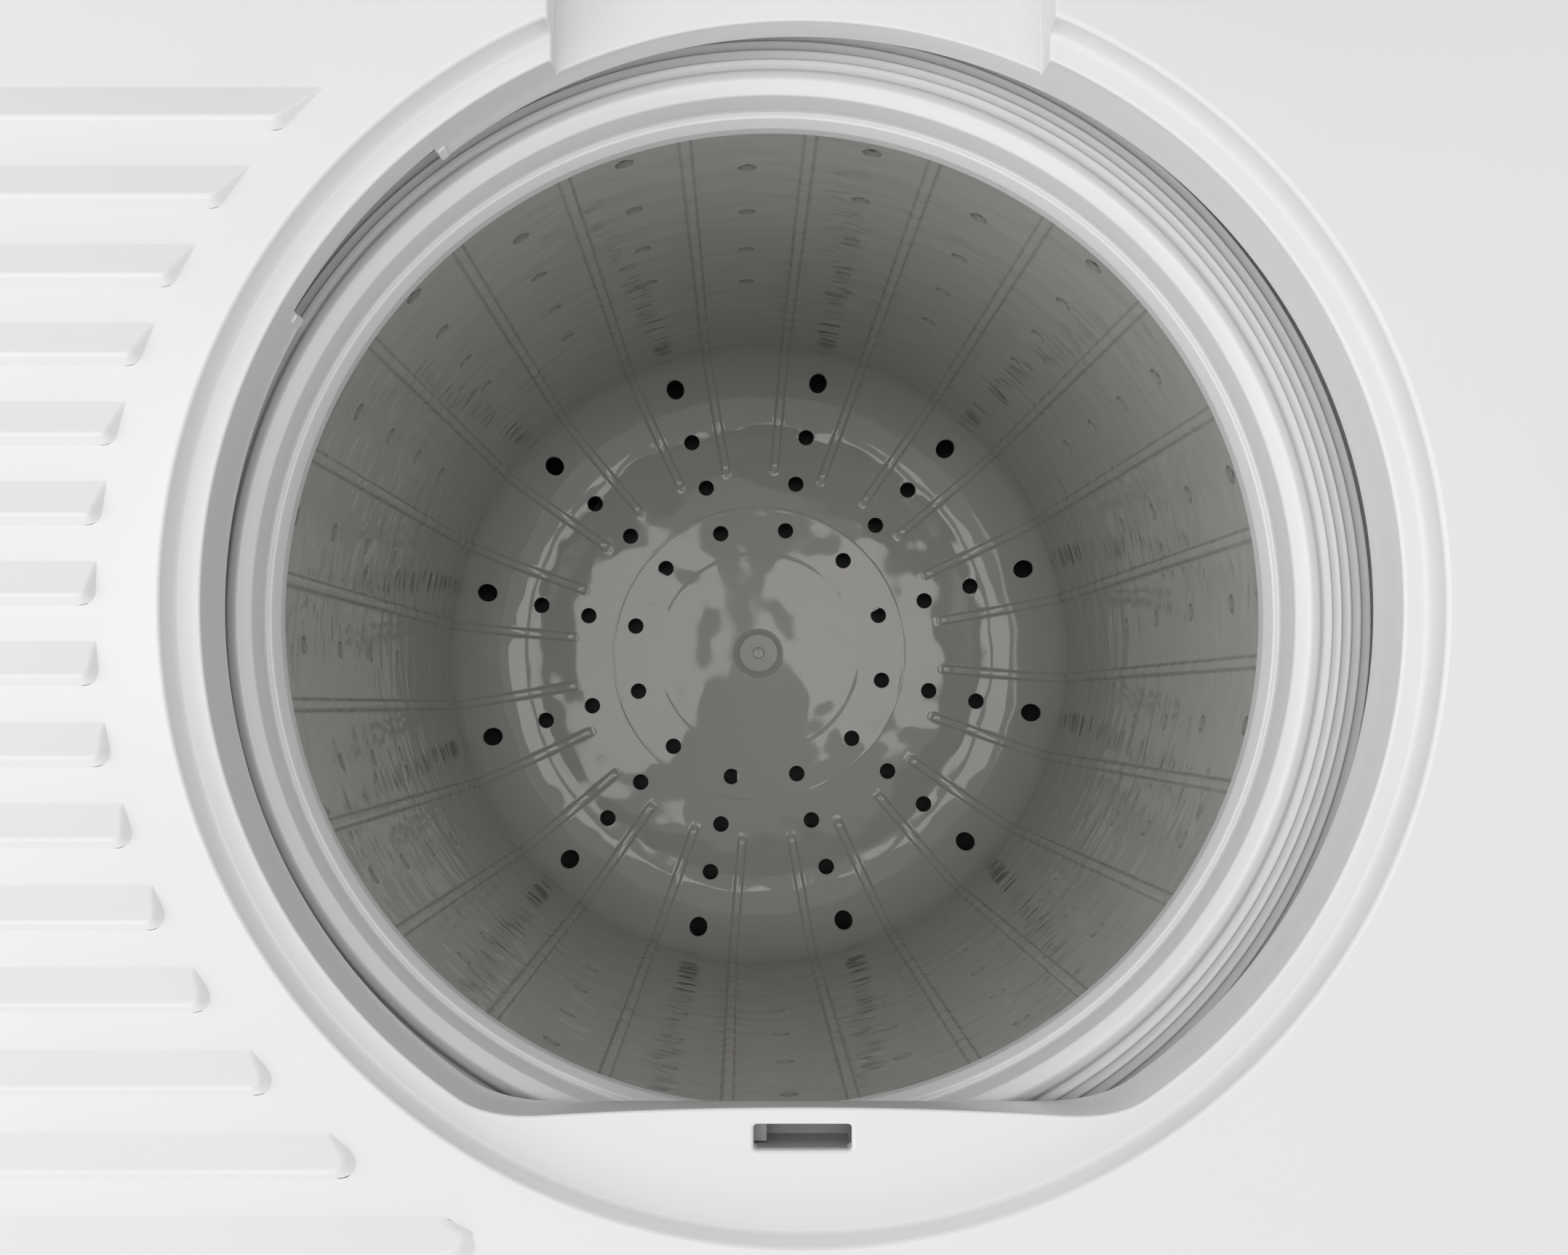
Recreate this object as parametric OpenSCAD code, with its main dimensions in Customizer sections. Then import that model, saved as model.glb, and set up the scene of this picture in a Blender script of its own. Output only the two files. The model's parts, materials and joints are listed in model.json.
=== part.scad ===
/* [Cabinet] */
// Width over the top deck
cab_w = 460; // [450:1:480]
// Depth over the top deck
cab_d = 470; // [460:1:490]
// Height of the deck surface above the floor
deck_z = 700; // [690:1:740]
// Corner radius of the deck in plan
cab_corner = 16; // [12:1:20]
// Height of the console above the deck
console_h = 100; // [95:1:110]
// Height of the feet under the base frame
foot_h = 18; // [14:1:22]

/* [Loading opening] */
// Opening centre, right of the cabinet's middle
open_x = 23; // [20:1:26]
// Opening centre, behind the cabinet's middle (negative is in front)
open_y = -29; // [-32:1:-27]
// Radius of the recess that the lid drops into
recess_r = 161.6; // [160:0.1:163]
// Depth of that recess
recess_depth = 8; // [6:0.5:9]
// Radius of the collar under the recess, at its top
collar_top_r = 154.2; // [153:0.1:155]
// Radius of the collar at its bottom edge
collar_bottom_r = 153.7; // [153:0.1:155]
// How far the collar's bottom edge hangs below the deck
collar_drop = 26.4; // [24:0.1:28]
// Front ledge edge, in front of the opening centre
ledge_y = 130; // [127:0.5:131]
// Width of the hinge channel behind the opening
channel_w = 130; // [120:1:135]
// Depth of the hinge channel
channel_depth = 17; // [15:0.5:19]
// Width of the latch slot in the front ledge
slot_w = 24.7; // [22:0.1:28]
// Length of the latch slot from front to back
slot_d = 6.4; // [6:0.1:8]

/* [Washboard ribs] */
// Number of raised ramps on the left of the deck
rib_count = 15; // [12:1:15]
// Distance from one ramp to the next
rib_pitch = 20.2; // [18:0.1:20.4]
// Height of a ramp at its front edge
rib_rise = 3.2; // [2:0.1:4]
// Clear radius about the opening where the ramps end
rib_clear_r = 177.5; // [170:0.5:180]

/* [Basket] */
// Basket axis, right of the opening centre (negative is left)
axis_dx = -6.7; // [-7:0.1:0]
// Basket axis, behind the opening centre
axis_dy = -1.5; // [-3:0.1:0]
// Radius of the basket mouth, at the balance ring's lower edge
mouth_r = 140; // [138:0.5:141]
// Depth of that edge below the deck
mouth_drop = 56.9; // [56:0.1:58]
// Inside radius of the basket wall
basket_r = 154; // [152:0.5:155]
// Depth of the basket's flat bottom below the deck
basket_drop = 412.4; // [400:0.2:420]
// Radius of the flat bottom
flat_r = 115.5; // [110:0.5:118]
// Height of the rounded corner between bottom and wall
corner_rise = 30; // [24:1:40]
// Number of beads up the wall
bead_count = 24; // [12:12:24]

/* [Lid] */
// Angle of the lid past level when it leans open
lid_open = 98; // [96:0.5:99]
// Distance of the hinge behind the opening centre
hinge_y = 190; // [188:0.5:191]

/* [Hidden] */
$fn = 96;

// Walls
deck_t = 3;
moulding_t = 2.5;
sheet_t = 1.2;
skirt_h = 28;
fit_gap = 0.3;
run_gap = 0.05;
eps = 0.5;

// Cabinet levels and planes
shell_w = cab_w - 2 * (deck_t + fit_gap);
shell_d = cab_d - 2 * (deck_t + fit_gap);
base_h = 30;
shell_z = foot_h + base_h;
rear_y = cab_d / 2 - 27;
foot_x = cab_w / 2 - 45;
foot_y = cab_d / 2 - 45;
foot_r = 19;
foot_pad_r = 30;
stud_r = 5;

// Opening
axis_x = open_x + axis_dx;
axis_y = open_y + axis_dy;
slot_y = -137;
notch_from = 129;
notch_to = 150.5;
notch_h = 9;
hook_w = 12;
hook_t = 2.6;

// Ribs
rib_first_y = 129.1;
rib_ramp = 8.6;
rib_face = 2.6;
rib_left = open_x + cab_w / 2 - 10;

// Basket details
wall_t = 2;
spoke_count = 12;
spoke_first = 17.55;
floor_holes = [[65.2, 4.05], [90.2, 4.05], [115.2, 4.05], [142.5, 4.55]];
wall_hole_r = 3.2;
wall_hole_first = 68;
wall_hole_pitch = 46.4;
wall_hole_rows = 4;
bead_r = 2.2;
bead_first = 10.05;
hub_cap_r = 12.6;

// Balance ring, outwards from the mouth
ring_lip_r = mouth_r + 1.3;
ring_band_r = mouth_r + 2.3;
ring_crown_r = mouth_r + 10.3;
ring_outer_r = 163;
ring_step = 2.8;
ring_step_drop = 1.1;
ring_steps = 4;
lip_drop = 48.5;
band_drop = 36.4;
crown_rise = 2.2;
ring_bottom_drop = 66;

// Tub
tub_r = 174;
tub_t = 3;
tub_top_drop = 72;
tub_floor_drop = 440;
lug_r = 215;
lug_drop = 372;
lug_t = 12;
rod_r = 4;
rod_top_drop = 44;
spring_h = 74;
spring_r = 11;
spring_wire_r = 1.6;
spring_turns = 7;

// Drive
shaft_r = 10;
belt_z = deck_z - 566;
belt_t = 6;
belt_h = 9;
spin_pulley_r = 68;
motor_pulley_r = 20;
belt_span = 126;
motor_r = 52;
motor_h = 84;
bracket_z = deck_z - tub_floor_drop - tub_t - 15;
housing_r = 34;
housing_bottom_z = belt_z + 22;
drum_r = 34;
bolt_r = 3;

// Drain
sump_x = -90;
sump_y = 58;
pump_z = 92;
pump_r = 36;
spigot_r = 10;

// Console
console_y = 178;
face_tilt = 12;
fascia_t = 2.5;
console_t = 2.5;
knob_level = 48;
timer_x = -176;
selector_x = -108;
level_x = 156;
button_x = 202;
button_level = 44;
lens_level = 70;
hinge_drop = 8;
pin_r = 3;

// Places
module at_opening(z = 0) translate([open_x, open_y, deck_z + z]) children();
module at_axis(z = 0) translate([axis_x, axis_y, deck_z + z]) children();
module on_face(x, level)
    translate([x, console_y + level * tan(face_tilt), deck_z + level])
        rotate([90 - face_tilt, 0, 0]) children();
module at_motor() translate([axis_x, axis_y + belt_span, 0]) children();
module at_rods()
    for (a = [45:90:315]) translate([axis_x + lug_r * cos(a), axis_y + lug_r * sin(a), 0]) children();
module pair(x) for (s = [-1, 1]) translate([s * x, 0, 0]) children();

// Plane shapes
module rounded(w, d, r) {
    square([w - 2 * r, d], center = true);
    square([w, d - 2 * r], center = true);
    for (x = [-1, 1], y = [-1, 1]) translate([x * (w / 2 - r), y * (d / 2 - r)]) circle(r);
}
module ring(r_in, r_out, h) difference() {
    cylinder(r = r_out, h = h);
    translate([0, 0, -1]) cylinder(r = r_in, h = h + 2);
}
module along_x(length) rotate([90, 0, 90]) linear_extrude(length) children();

// Coil spring about Z, standing on its lower end
function coil_ring(i, n, r, wire, h, turns, sides) = [
    for (s = [0:sides - 1])
        let (a = 360 * turns * i / n, p = 360 * s / sides, rr = r + wire * cos(p))
            [rr * cos(a), rr * sin(a), wire + (h - 2 * wire) * i / n + wire * sin(p)]
];
module coil(r, wire, h, turns) {
    n = turns * 10;
    sides = 6;
    points = [for (i = [0:n]) each coil_ring(i, n, r, wire, h, turns, sides)];
    walls = [for (i = [0:n - 1], s = [0:sides - 1])
        let (t = (s + 1) % sides)
            [(i + 1) * sides + s, (i + 1) * sides + t, i * sides + t, i * sides + s]];
    lower = [for (s = [0:sides - 1]) s];
    upper = [for (s = [sides - 1:-1:0]) n * sides + s];
    polyhedron(points, concat(walls, [lower], [upper]), convexity = 10);
}

// Cabinet ---------------------------------------------------------------
module shell_outline() {
    difference() {
        rounded(shell_w, shell_d, cab_corner - deck_t);
        rounded(shell_w - 2 * sheet_t, shell_d - 2 * sheet_t, cab_corner - deck_t - sheet_t);
        translate([0, shell_d / 2]) square([shell_w - 2 * cab_corner, 20], center = true);
    }
    for (s = [-1, 1])
        translate([s * (shell_w / 2 - 11), rear_y - sheet_t / 2])
            square([22 - sheet_t, sheet_t], center = true);
}
module panel_screw_holes(r)
    for (p = panel_screw_points)
        translate([p[0], rear_y - sheet_t - eps, p[1]]) rotate([-90, 0, 0])
            cylinder(r = r, h = 2 * (sheet_t + eps));
module cabinet_shell() color("white")
    difference() {
        translate([0, 0, shell_z]) linear_extrude(deck_z - deck_t - shell_z) shell_outline();
        panel_screw_holes(panel_screw_r + run_gap);
    }
module rear_panel() color("lightgray")
    difference() {
        translate([-shell_w / 2 + 8, rear_y, shell_z + 2])
            cube([shell_w - 16, sheet_t, deck_z - skirt_h - shell_z - 6]);
        for (row = [0:5], s = [-1, 1])
            translate([s * 90 - 55, rear_y - 1, shell_z + 60 + row * 16]) cube([110, sheet_t + 2, 5]);
        translate([valve_x, rear_y - 1, valve_z]) rotate([-90, 0, 0]) cylinder(r = 15, h = sheet_t + 2);
        translate([sump_x, rear_y - 1, pump_z]) rotate([-90, 0, 0])
            cylinder(r = spigot_r + 4.5, h = sheet_t + 2);
        translate([gland_x, rear_y - 1, gland_z]) rotate([-90, 0, 0]) cylinder(r = 7, h = sheet_t + 2);
        panel_screw_holes(panel_screw_r + 0.2);
    }
panel_screw_r = 2;
panel_screw_points = [for (s = [-1, 1], z = [shell_z + 30, deck_z / 2, deck_z - skirt_h - 30])
    [s * (shell_w / 2 - 14), z]];
module rear_panel_screws() color("silver")
    for (p = panel_screw_points)
        translate([p[0], rear_y + sheet_t, p[1]]) rotate([-90, 0, 0]) {
            cylinder(r = 4.2, h = 2.4);
            translate([0, 0, -10]) cylinder(r = panel_screw_r, h = 10);
        }

module base_frame() color("dimgray")
    difference() {
        union() {
            translate([0, 0, foot_h]) linear_extrude(base_h) difference() {
                rounded(shell_w, shell_d, cab_corner - deck_t);
                rounded(shell_w - 28, shell_d - 28, 8);
            }
            for (x = [-1, 1], y = [-1, 1])
                translate([x * foot_x, y * foot_y, foot_h]) cylinder(r = foot_pad_r, h = base_h);
            translate([-shell_w / 2 + 10, sump_y - 60, foot_h]) cube([170, 130, 8]);
            translate([60, -shell_d / 2 + 10, foot_h]) cube([110, shell_d - 20, 8]);
            translate([-shell_w / 2 + 8, rear_y - 4, foot_h])
                cube([shell_w - 16, shell_d / 2 - rear_y - 4, base_h]);
        }
        for (x = [-1, 1], y = [-1, 1])
            translate([x * foot_x, y * foot_y, foot_h - 1]) cylinder(r = stud_r + run_gap, h = base_h + 2);
    }
module foot() {
    cylinder(r = foot_r, h = foot_h - 4);
    translate([0, 0, foot_h - 4 - eps]) cylinder(r = 11, h = 3.5 + eps, $fn = 6);
    cylinder(r = stud_r, h = foot_h + base_h + 4);
}
module foot_front_left() color("black") translate([-foot_x, -foot_y, 0]) foot();
module foot_front_right() color("black") translate([foot_x, -foot_y, 0]) foot();
module rear_feet() color("black") pair(foot_x) translate([0, foot_y, 0]) foot();

// Suspension --------------------------------------------------------------
bracket_cut = 9;
module corner_bracket(dx, dy)
    difference() {
        linear_extrude(3)
            polygon([[-18, -18], [dx, -18], [dx, dy - bracket_cut], [dx - bracket_cut, dy], [-18, dy]]);
        translate([0, 0, -1]) cylinder(r = rod_r + 2, h = 5);
    }
module corner_brackets() color("silver")
    for (sx = [-1, 1], sy = [-1, 1]) {
        x = axis_x + sx * lug_r * cos(45);
        y = axis_y + sy * lug_r * sin(45);
        reach_x = shell_w / 2 - sheet_t - sx * x;
        reach_y = (sy > 0 ? rear_y - sheet_t : shell_d / 2 - sheet_t) - sy * y;
        translate([x, y, deck_z - rod_top_drop - 12]) mirror([sx < 0 ? 1 : 0, 0, 0])
            mirror([0, sy < 0 ? 1 : 0, 0]) corner_bracket(reach_x, reach_y);
    }
module suspension_rods() color("silver")
    at_rods() translate([0, 0, deck_z - lug_drop - spring_h - 18])
        cylinder(r = rod_r, h = lug_drop + spring_h + 18 - rod_top_drop);
module rod_seats() color("white")
    at_rods() translate([0, 0, deck_z - rod_top_drop - 9]) difference() {
        union() {
            cylinder(r = 12, h = 3);
            translate([0, 0, 3 - 0.01]) cylinder(r1 = 11, r2 = 7, h = 5);
        }
        translate([0, 0, -1]) cylinder(r = rod_r, h = 20);
    }
module spring_cups() color("dimgray")
    at_rods() translate([0, 0, deck_z - lug_drop - spring_h - 12]) difference() {
        union() {
            cylinder(r = 16, h = 8);
            cylinder(r = 8.5, h = 16);
        }
        translate([0, 0, -1]) cylinder(r = rod_r, h = 20);
    }
module suspension_springs() color("silver")
    at_rods() translate([0, 0, deck_z - lug_drop - spring_h - 3.7])
        coil(spring_r + spring_wire_r, spring_wire_r, spring_h + 3.4, spring_turns);

// Top deck ----------------------------------------------------------------
module opening_plane(r)
    difference() {
        circle(r, $fn = 180);
        translate([0, -ledge_y - r]) square(2 * r, center = true);
    }
module deck_ribs()
    difference() {
        for (i = [0:rib_count - 1])
            translate([-rib_left, rib_first_y - i * rib_pitch, 0])
                along_x(rib_left) polygon([
                    [0, 0], [0, -1], [-rib_ramp - rib_face, -1], [-rib_ramp - rib_face, 0],
                    [-rib_ramp, rib_rise]]);
        translate([0, 0, -5]) cylinder(r = rib_clear_r, h = 20, $fn = 180);
    }
module collar_notch()
    translate([0, 0, -collar_drop - 1]) rotate([0, 0, notch_from])
        rotate_extrude(angle = notch_to - notch_from, $fn = 180)
            translate([collar_bottom_r - 4, 0]) square([collar_top_r - collar_bottom_r + 12, notch_h + 1]);
module in_front(y)
    translate([-recess_r, -y - recess_r, -collar_drop - 1]) cube([2 * recess_r, recess_r, 40]);
module collar()
    difference() {
        translate([0, 0, -collar_drop])
            cylinder(r = collar_top_r + moulding_t, h = collar_drop - recess_depth, $fn = 180);
        difference() {
            translate([0, 0, -collar_drop - 0.01])
                cylinder(r1 = collar_bottom_r, r2 = collar_top_r, h = collar_drop - recess_depth + 0.02,
                    $fn = 180);
            in_front(ledge_y);
        }
        in_front(ledge_y + moulding_t);
        collar_notch();
    }
module channel_cut()
    translate([-channel_w / 2, 100, -channel_depth])
        cube([channel_w, hinge_y + 11 - 100, channel_depth + 10]);
module channel_box()
    difference() {
        translate([-channel_w / 2 - moulding_t, 120, -channel_depth - moulding_t])
            cube([channel_w + 2 * moulding_t, hinge_y + 11 + moulding_t - 120,
                channel_depth + moulding_t - eps]);
        translate([0, 0, -60]) cylinder(r = collar_top_r, h = 100, $fn = 180);
    }
module latch_slot()
    translate([0, slot_y, -recess_depth - 5]) linear_extrude(10) rounded(slot_w, slot_d, 1);
module deck_plate() {
    translate([0, 0, deck_z - deck_t]) linear_extrude(deck_t) rounded(cab_w, cab_d, cab_corner);
    translate([0, 0, deck_z - skirt_h]) linear_extrude(skirt_h) difference() {
        rounded(cab_w, cab_d, cab_corner);
        rounded(cab_w - 2 * deck_t, cab_d - 2 * deck_t, cab_corner - deck_t);
    }
}
module recess_pan()
    translate([0, 0, -recess_depth - moulding_t])
        cylinder(r = recess_r + moulding_t, h = recess_depth + moulding_t - 0.2, $fn = 180);
module top_deck() color("white")
    difference() {
        union() {
            difference() {
                union() {
                    deck_plate();
                    at_opening() recess_pan();
                    at_opening() channel_box();
                }
                at_opening(-recess_depth) cylinder(r = recess_r, h = 30, $fn = 180);
                at_opening(-60) linear_extrude(100) opening_plane(collar_top_r);
                at_opening() channel_cut();
            }
            at_opening() difference() {
                collar();
                channel_cut();
            }
            at_opening() deck_ribs();
        }
        at_opening() latch_slot();
        at_opening(-hinge_drop) translate([0, hinge_y, 0]) pair(channel_w / 2)
            rotate([0, 90, 0]) cylinder(r = pin_r, h = 12, center = true);
    }

// Console -------------------------------------------------------------------
module console_outline(inset, front) {
    y0 = console_y + front;
    polygon([
        [y0, inset], [y0 + (console_h - inset) * tan(face_tilt), console_h - inset],
        [cab_d / 2 - inset, console_h - inset], [cab_d / 2 - inset, inset]]);
}
module console_housing() color("white")
    difference() {
        translate([-cab_w / 2, 0, deck_z]) along_x(cab_w)
            console_outline(0, fascia_t / cos(face_tilt) + 0.02);
        translate([-cab_w / 2 + console_t, 0, deck_z - 1]) along_x(cab_w - 2 * console_t)
            console_outline(console_t, fascia_t - 6);
        translate([-cab_w / 2 + console_t, console_y + 8, deck_z - 1])
            cube([cab_w - 2 * console_t, cab_d / 2 - console_y - 8 - console_t, 6]);
    }
module face_plate(x0, x1, h)
    translate([x0, console_y + 0.6 * tan(face_tilt), deck_z + 0.6]) rotate([-face_tilt, 0, 0])
        cube([x1 - x0, fascia_t, h]);
module console_fascia() color("gainsboro")
    difference() {
        face_plate(-cab_w / 2, cab_w / 2, console_h / cos(face_tilt) - 1.2);
        for (x = [timer_x, selector_x, level_x]) on_face(x, knob_level) translate([0, 0, -10])
            cylinder(r = 4.5, h = 20);
        on_face(button_x, button_level) translate([0, 0, -10]) cylinder(r = 9.3, h = 20);
        on_face(button_x, lens_level) translate([0, 0, -10]) cylinder(r = 3, h = 20);
    }
module dial_trims() color("silver")
    for (k = [[timer_x, 31], [selector_x, 25], [level_x, 25]])
        on_face(k[0], knob_level) ring(k[1], k[1] + 3, 1.2);
module indicator_lens() color("orange")
    on_face(button_x, lens_level) {
        translate([0, 0, -4]) cylinder(r = 2.9, h = 4.4);
        translate([0, 0, 0.4]) difference() {
            sphere(r = 2.9);
            translate([0, 0, -5]) cylinder(r = 6, h = 5);
        }
    }
module control_body(r, h)
    translate([0, 0, -fascia_t - 0.01 - h]) difference() {
        cylinder(r = r, h = h);
        translate([0, 0, 6]) cylinder(r = pin_r + run_gap, h = h);
    }
module timer_control() color("beige") on_face(timer_x, knob_level) control_body(21, 26);
module selector_switch() color("beige") on_face(selector_x, knob_level) control_body(16, 22);
module pressure_switch() color("beige") on_face(level_x, knob_level) control_body(22, 24);
module knob(r, h) {
    translate([0, 0, 1.6]) cylinder(r = r, h = 3.4);
    translate([0, 0, 5 - 0.01]) cylinder(r1 = r * 0.82, r2 = r * 0.72, h = h - 5);
    translate([-r * 0.11, -r * 0.8, 4]) cube([r * 0.22, r * 1.6, h - 2.5]);
    translate([0, 0, -fascia_t - 15]) cylinder(r = pin_r, h = fascia_t + 17);
}
module timer_knob() color("gainsboro") on_face(timer_x, knob_level) knob(28, 21);
module selector_knob() color("gainsboro") on_face(selector_x, knob_level) knob(22, 19);
module level_knob() color("gainsboro") on_face(level_x, knob_level) knob(22, 19);
module start_button() color("steelblue")
    on_face(button_x, button_level) {
        translate([0, 0, -8]) cylinder(r = 9, h = 13.4);
        translate([0, 0, -10]) cylinder(r = 11, h = 2.01);
    }
module start_switch() color("beige")
    on_face(button_x, button_level) translate([-12, -12, -24]) difference() {
        cube([24, 24, 24 - fascia_t - 0.01]);
        translate([12, 12, 6]) cylinder(r = 11.4, h = 30);
    }

// Lid ---------------------------------------------------------------------
// The lid is drawn closed about the opening centre, then swung open about its hinge
module opened()
    at_opening(-hinge_drop) translate([0, hinge_y, 0]) rotate([-lid_open, 0, 0])
        translate([0, -hinge_y, hinge_drop]) children();
lid_r = recess_r - 0.9;
lid_top = 3.4;
lid_t = 2.6;
lid_rim_drop = 6.8;
arm_w = channel_w - 4;
module lid_shell()
    difference() {
        union() {
            translate([0, 0, -lid_rim_drop]) cylinder(r = lid_r, h = lid_rim_drop + lid_top - 2, $fn = 180);
            translate([0, 0, lid_top - 2 - 0.01]) cylinder(r1 = lid_r, r2 = lid_r - 2.4, h = 2.01, $fn = 180);
        }
        translate([0, 0, -lid_rim_drop - 1])
            cylinder(r = lid_r - 4, h = lid_rim_drop + 1 + lid_top - lid_t, $fn = 180);
    }
module lid_arm()
    difference() {
        union() {
            translate([-arm_w / 2, 130, -13.5]) cube([arm_w, hinge_y - 130, 12.5]);
            translate([-arm_w / 2, hinge_y, -hinge_drop]) rotate([0, 90, 0]) cylinder(r = 7, h = arm_w);
        }
        translate([-arm_w / 2 + 3, 100, -14]) cube([arm_w - 6, hinge_y - 112, 10]);
        translate([-arm_w, hinge_y, -hinge_drop]) rotate([0, 90, 0])
            cylinder(r = pin_r + run_gap, h = 2 * arm_w);
        intersection() {
            translate([0, 0, -30]) cylinder(r = lid_r - 4, h = 30 + lid_top - lid_t, $fn = 180);
            translate([-200, 100, -30]) cube([400, 100, 60]);
        }
    }
module lid_grip()
    translate([-38, -lid_r + 14, lid_top - 1]) cube([76, 9, 6]);
module lid() color("white") opened() {
    lid_shell();
    lid_arm();
    lid_grip();
}
hook_drop = 22;
module lid_hook() color("white") opened()
    translate([-2, slot_y, 0]) {
        translate([-hook_w / 2 - 4, -5, lid_top - lid_t - 2.5 - 0.01]) cube([hook_w + 8, 10, 2.5]);
        translate([-hook_w / 2, -hook_t / 2, -hook_drop])
            cube([hook_w, hook_t, hook_drop + lid_top - lid_t - 0.01]);
    }
module lid_bumpers() color("gray") opened()
    for (a = [20, 160, 235, 305]) rotate([0, 0, a]) translate([lid_r - 7, 0, -lid_rim_drop - 0.7])
        cylinder(r = 2.8, h = lid_rim_drop + 0.7 + lid_top - lid_t);
module lid_hinge_pins() color("silver")
    at_opening(-hinge_drop) translate([0, hinge_y, 0]) pair(channel_w / 2 - 6) rotate([0, 90, 0])
        cylinder(r = pin_r, h = 22, center = true);
bumper_level = 80;
lid_back = (lid_top + hinge_drop) / cos(lid_open - 90) + (bumper_level + hinge_drop) * tan(lid_open - 90);
bumper_gap = console_y - open_y + bumper_level * tan(face_tilt) - hinge_y - lid_back;
module lid_rest_bumpers() color("gray")
    translate([open_x, 0, 0]) pair(60) on_face(0, bumper_level)
        cylinder(r = 7, h = bumper_gap * cos(face_tilt) - 0.9);

// Lid switch under the latch slot -----------------------------------------
switch_top = -recess_depth - moulding_t;
switch_h = 15.5;
module lid_switch_housing() color("dimgray")
    at_opening() translate([0, slot_y, 0]) difference() {
        translate([-42, -6, switch_top - switch_h]) cube([58, 10, switch_h]);
        translate([-slot_w / 2, -slot_d / 2, switch_top - switch_h + 2]) cube([slot_w, slot_d, switch_h]);
        translate([-39, -3.05, switch_top - 11.55]) cube([30, 6.1, 7.1]);
    }
module lid_switch_plunger() color("gray")
    at_opening() translate([-34, slot_y - 2.75, switch_top - 11.25]) cube([25, 5.5, 6.5]);

// Tub ----------------------------------------------------------------------
tub_z = -tub_floor_drop;
module tub_lug(a)
    rotate([0, 0, a]) translate([tub_r, -14, -lug_drop]) difference() {
        translate([0, 0, 0]) cube([lug_r - tub_r + 15, 28, lug_t]);
        translate([lug_r - tub_r, 14, -1]) cylinder(r = rod_r + 1, h = lug_t + 2);
    }
module outer_tub() color("whitesmoke")
    at_axis() difference() {
        union() {
            translate([0, 0, tub_z]) cylinder(r = tub_r + tub_t, h = tub_floor_drop - tub_top_drop);
            translate([0, 0, -tub_top_drop - 14]) cylinder(r = tub_r + tub_t + 3, h = 14);
            for (a = [45:90:315]) tub_lug(a);
            translate([0, 0, tub_z - 15]) cylinder(r = 62, h = 16);
            translate([sump_x - axis_x, sump_y - axis_y, tub_z - 14]) cylinder(r = 24, h = 15);
            translate([sump_x - axis_x, sump_y - axis_y, tub_z - 30]) cylinder(r = 15, h = 17);
        }
        translate([0, 0, tub_z + tub_t]) cylinder(r = tub_r, h = tub_floor_drop);
        translate([0, 0, tub_z - 20]) cylinder(r = housing_r + 0.02, h = 40);
        translate([sump_x - axis_x, sump_y - axis_y, tub_z - 40]) cylinder(r = 12.5, h = 60);
        translate([sump_x - axis_x, sump_y - axis_y, tub_z - 12]) cylinder(r = 21, h = 30);
        bolt_circle(tub_z - 16) cylinder(r = bolt_r, h = 14);
    }
module tub_ring() color("whitesmoke")
    at_axis() rotate_extrude($fn = 180) polygon([
        [166.6, -47.5], [168.4, -46.5], [tub_r + tub_t + 5.5, -50], [tub_r + tub_t + 5.5, -tub_top_drop - 10],
        [tub_r + tub_t + 3.05, -tub_top_drop - 10], [tub_r + tub_t + 3.05, -tub_top_drop + 0.01],
        [tub_r - 0.5, -tub_top_drop + 0.01], [tub_r - 2.5, -52], [166.6, -49.5]]);
module bolt_circle(z) for (a = [0:60:300]) rotate([0, 0, a]) translate([44, 0, z]) children();
module housing_profile() polygon([
    [22, tub_z + 8], [housing_r, tub_z + 8], [housing_r, tub_z - 15.05],
    [52, tub_z - 15.05], [52, tub_z - 21], [34, tub_z - 21],
    [28, housing_bottom_z - deck_z], [22, housing_bottom_z - deck_z]]);
module bearing_housing() color("silver")
    at_axis() difference() {
        rotate_extrude() housing_profile();
        bolt_circle(tub_z - 40) cylinder(r = bolt_r, h = 40);
    }
module housing_bolts() color("silver")
    at_axis() bolt_circle(tub_z - 26.01) {
        cylinder(r = 5.5, h = 5, $fn = 6);
        cylinder(r = bolt_r, h = 23);
    }
module bearing() ring(shaft_r + run_gap, 22, 12);
module upper_bearing() color("silver") at_axis(-tub_floor_drop - 12) bearing();
module lower_bearing() color("silver") at_axis(housing_bottom_z - deck_z + 2) bearing();
module shaft_seal() color("black")
    at_axis(-tub_floor_drop + 1) difference() {
        cylinder(r = 22, h = 7);
        translate([0, 0, -1]) cylinder(r = shaft_r + 0.08, h = 12);
        translate([0, 0, 2.5]) ring(shaft_r + 2.5, 19.5, 8);
    }

// Drive ---------------------------------------------------------------------
module motor_bracket() color("silver")
    translate([axis_x, axis_y, bracket_z - 3.1]) difference() {
        union() {
            translate([-60, 56, 0]) cube([120, belt_span, 3]);
            for (x = [-50, 50], y = [68, 170]) translate([x, y, 0])
                cylinder(r = 7, h = deck_z + tub_z - bracket_z + 3);
        }
        translate([0, belt_span, -1]) cylinder(r = 14, h = 6);
        for (x = [-50, 50], y = [68, 170]) translate([x, y, -1]) cylinder(r = 2.5, h = 40);
    }
motor_z = bracket_z - 3.1 - motor_h;
module drive_motor() color("dimgray")
    at_motor() translate([0, 0, motor_z]) difference() {
        union() {
            cylinder(r = motor_r, h = motor_h);
            translate([0, 0, -8]) cylinder(r = 20, h = 9);
            for (a = [45:90:315]) rotate([0, 0, a]) translate([motor_r - 4, -6, 8])
                cube([10, 12, motor_h - 8]);
        }
        translate([0, 0, -20]) cylinder(r = 8 + run_gap, h = motor_h);
    }
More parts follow.
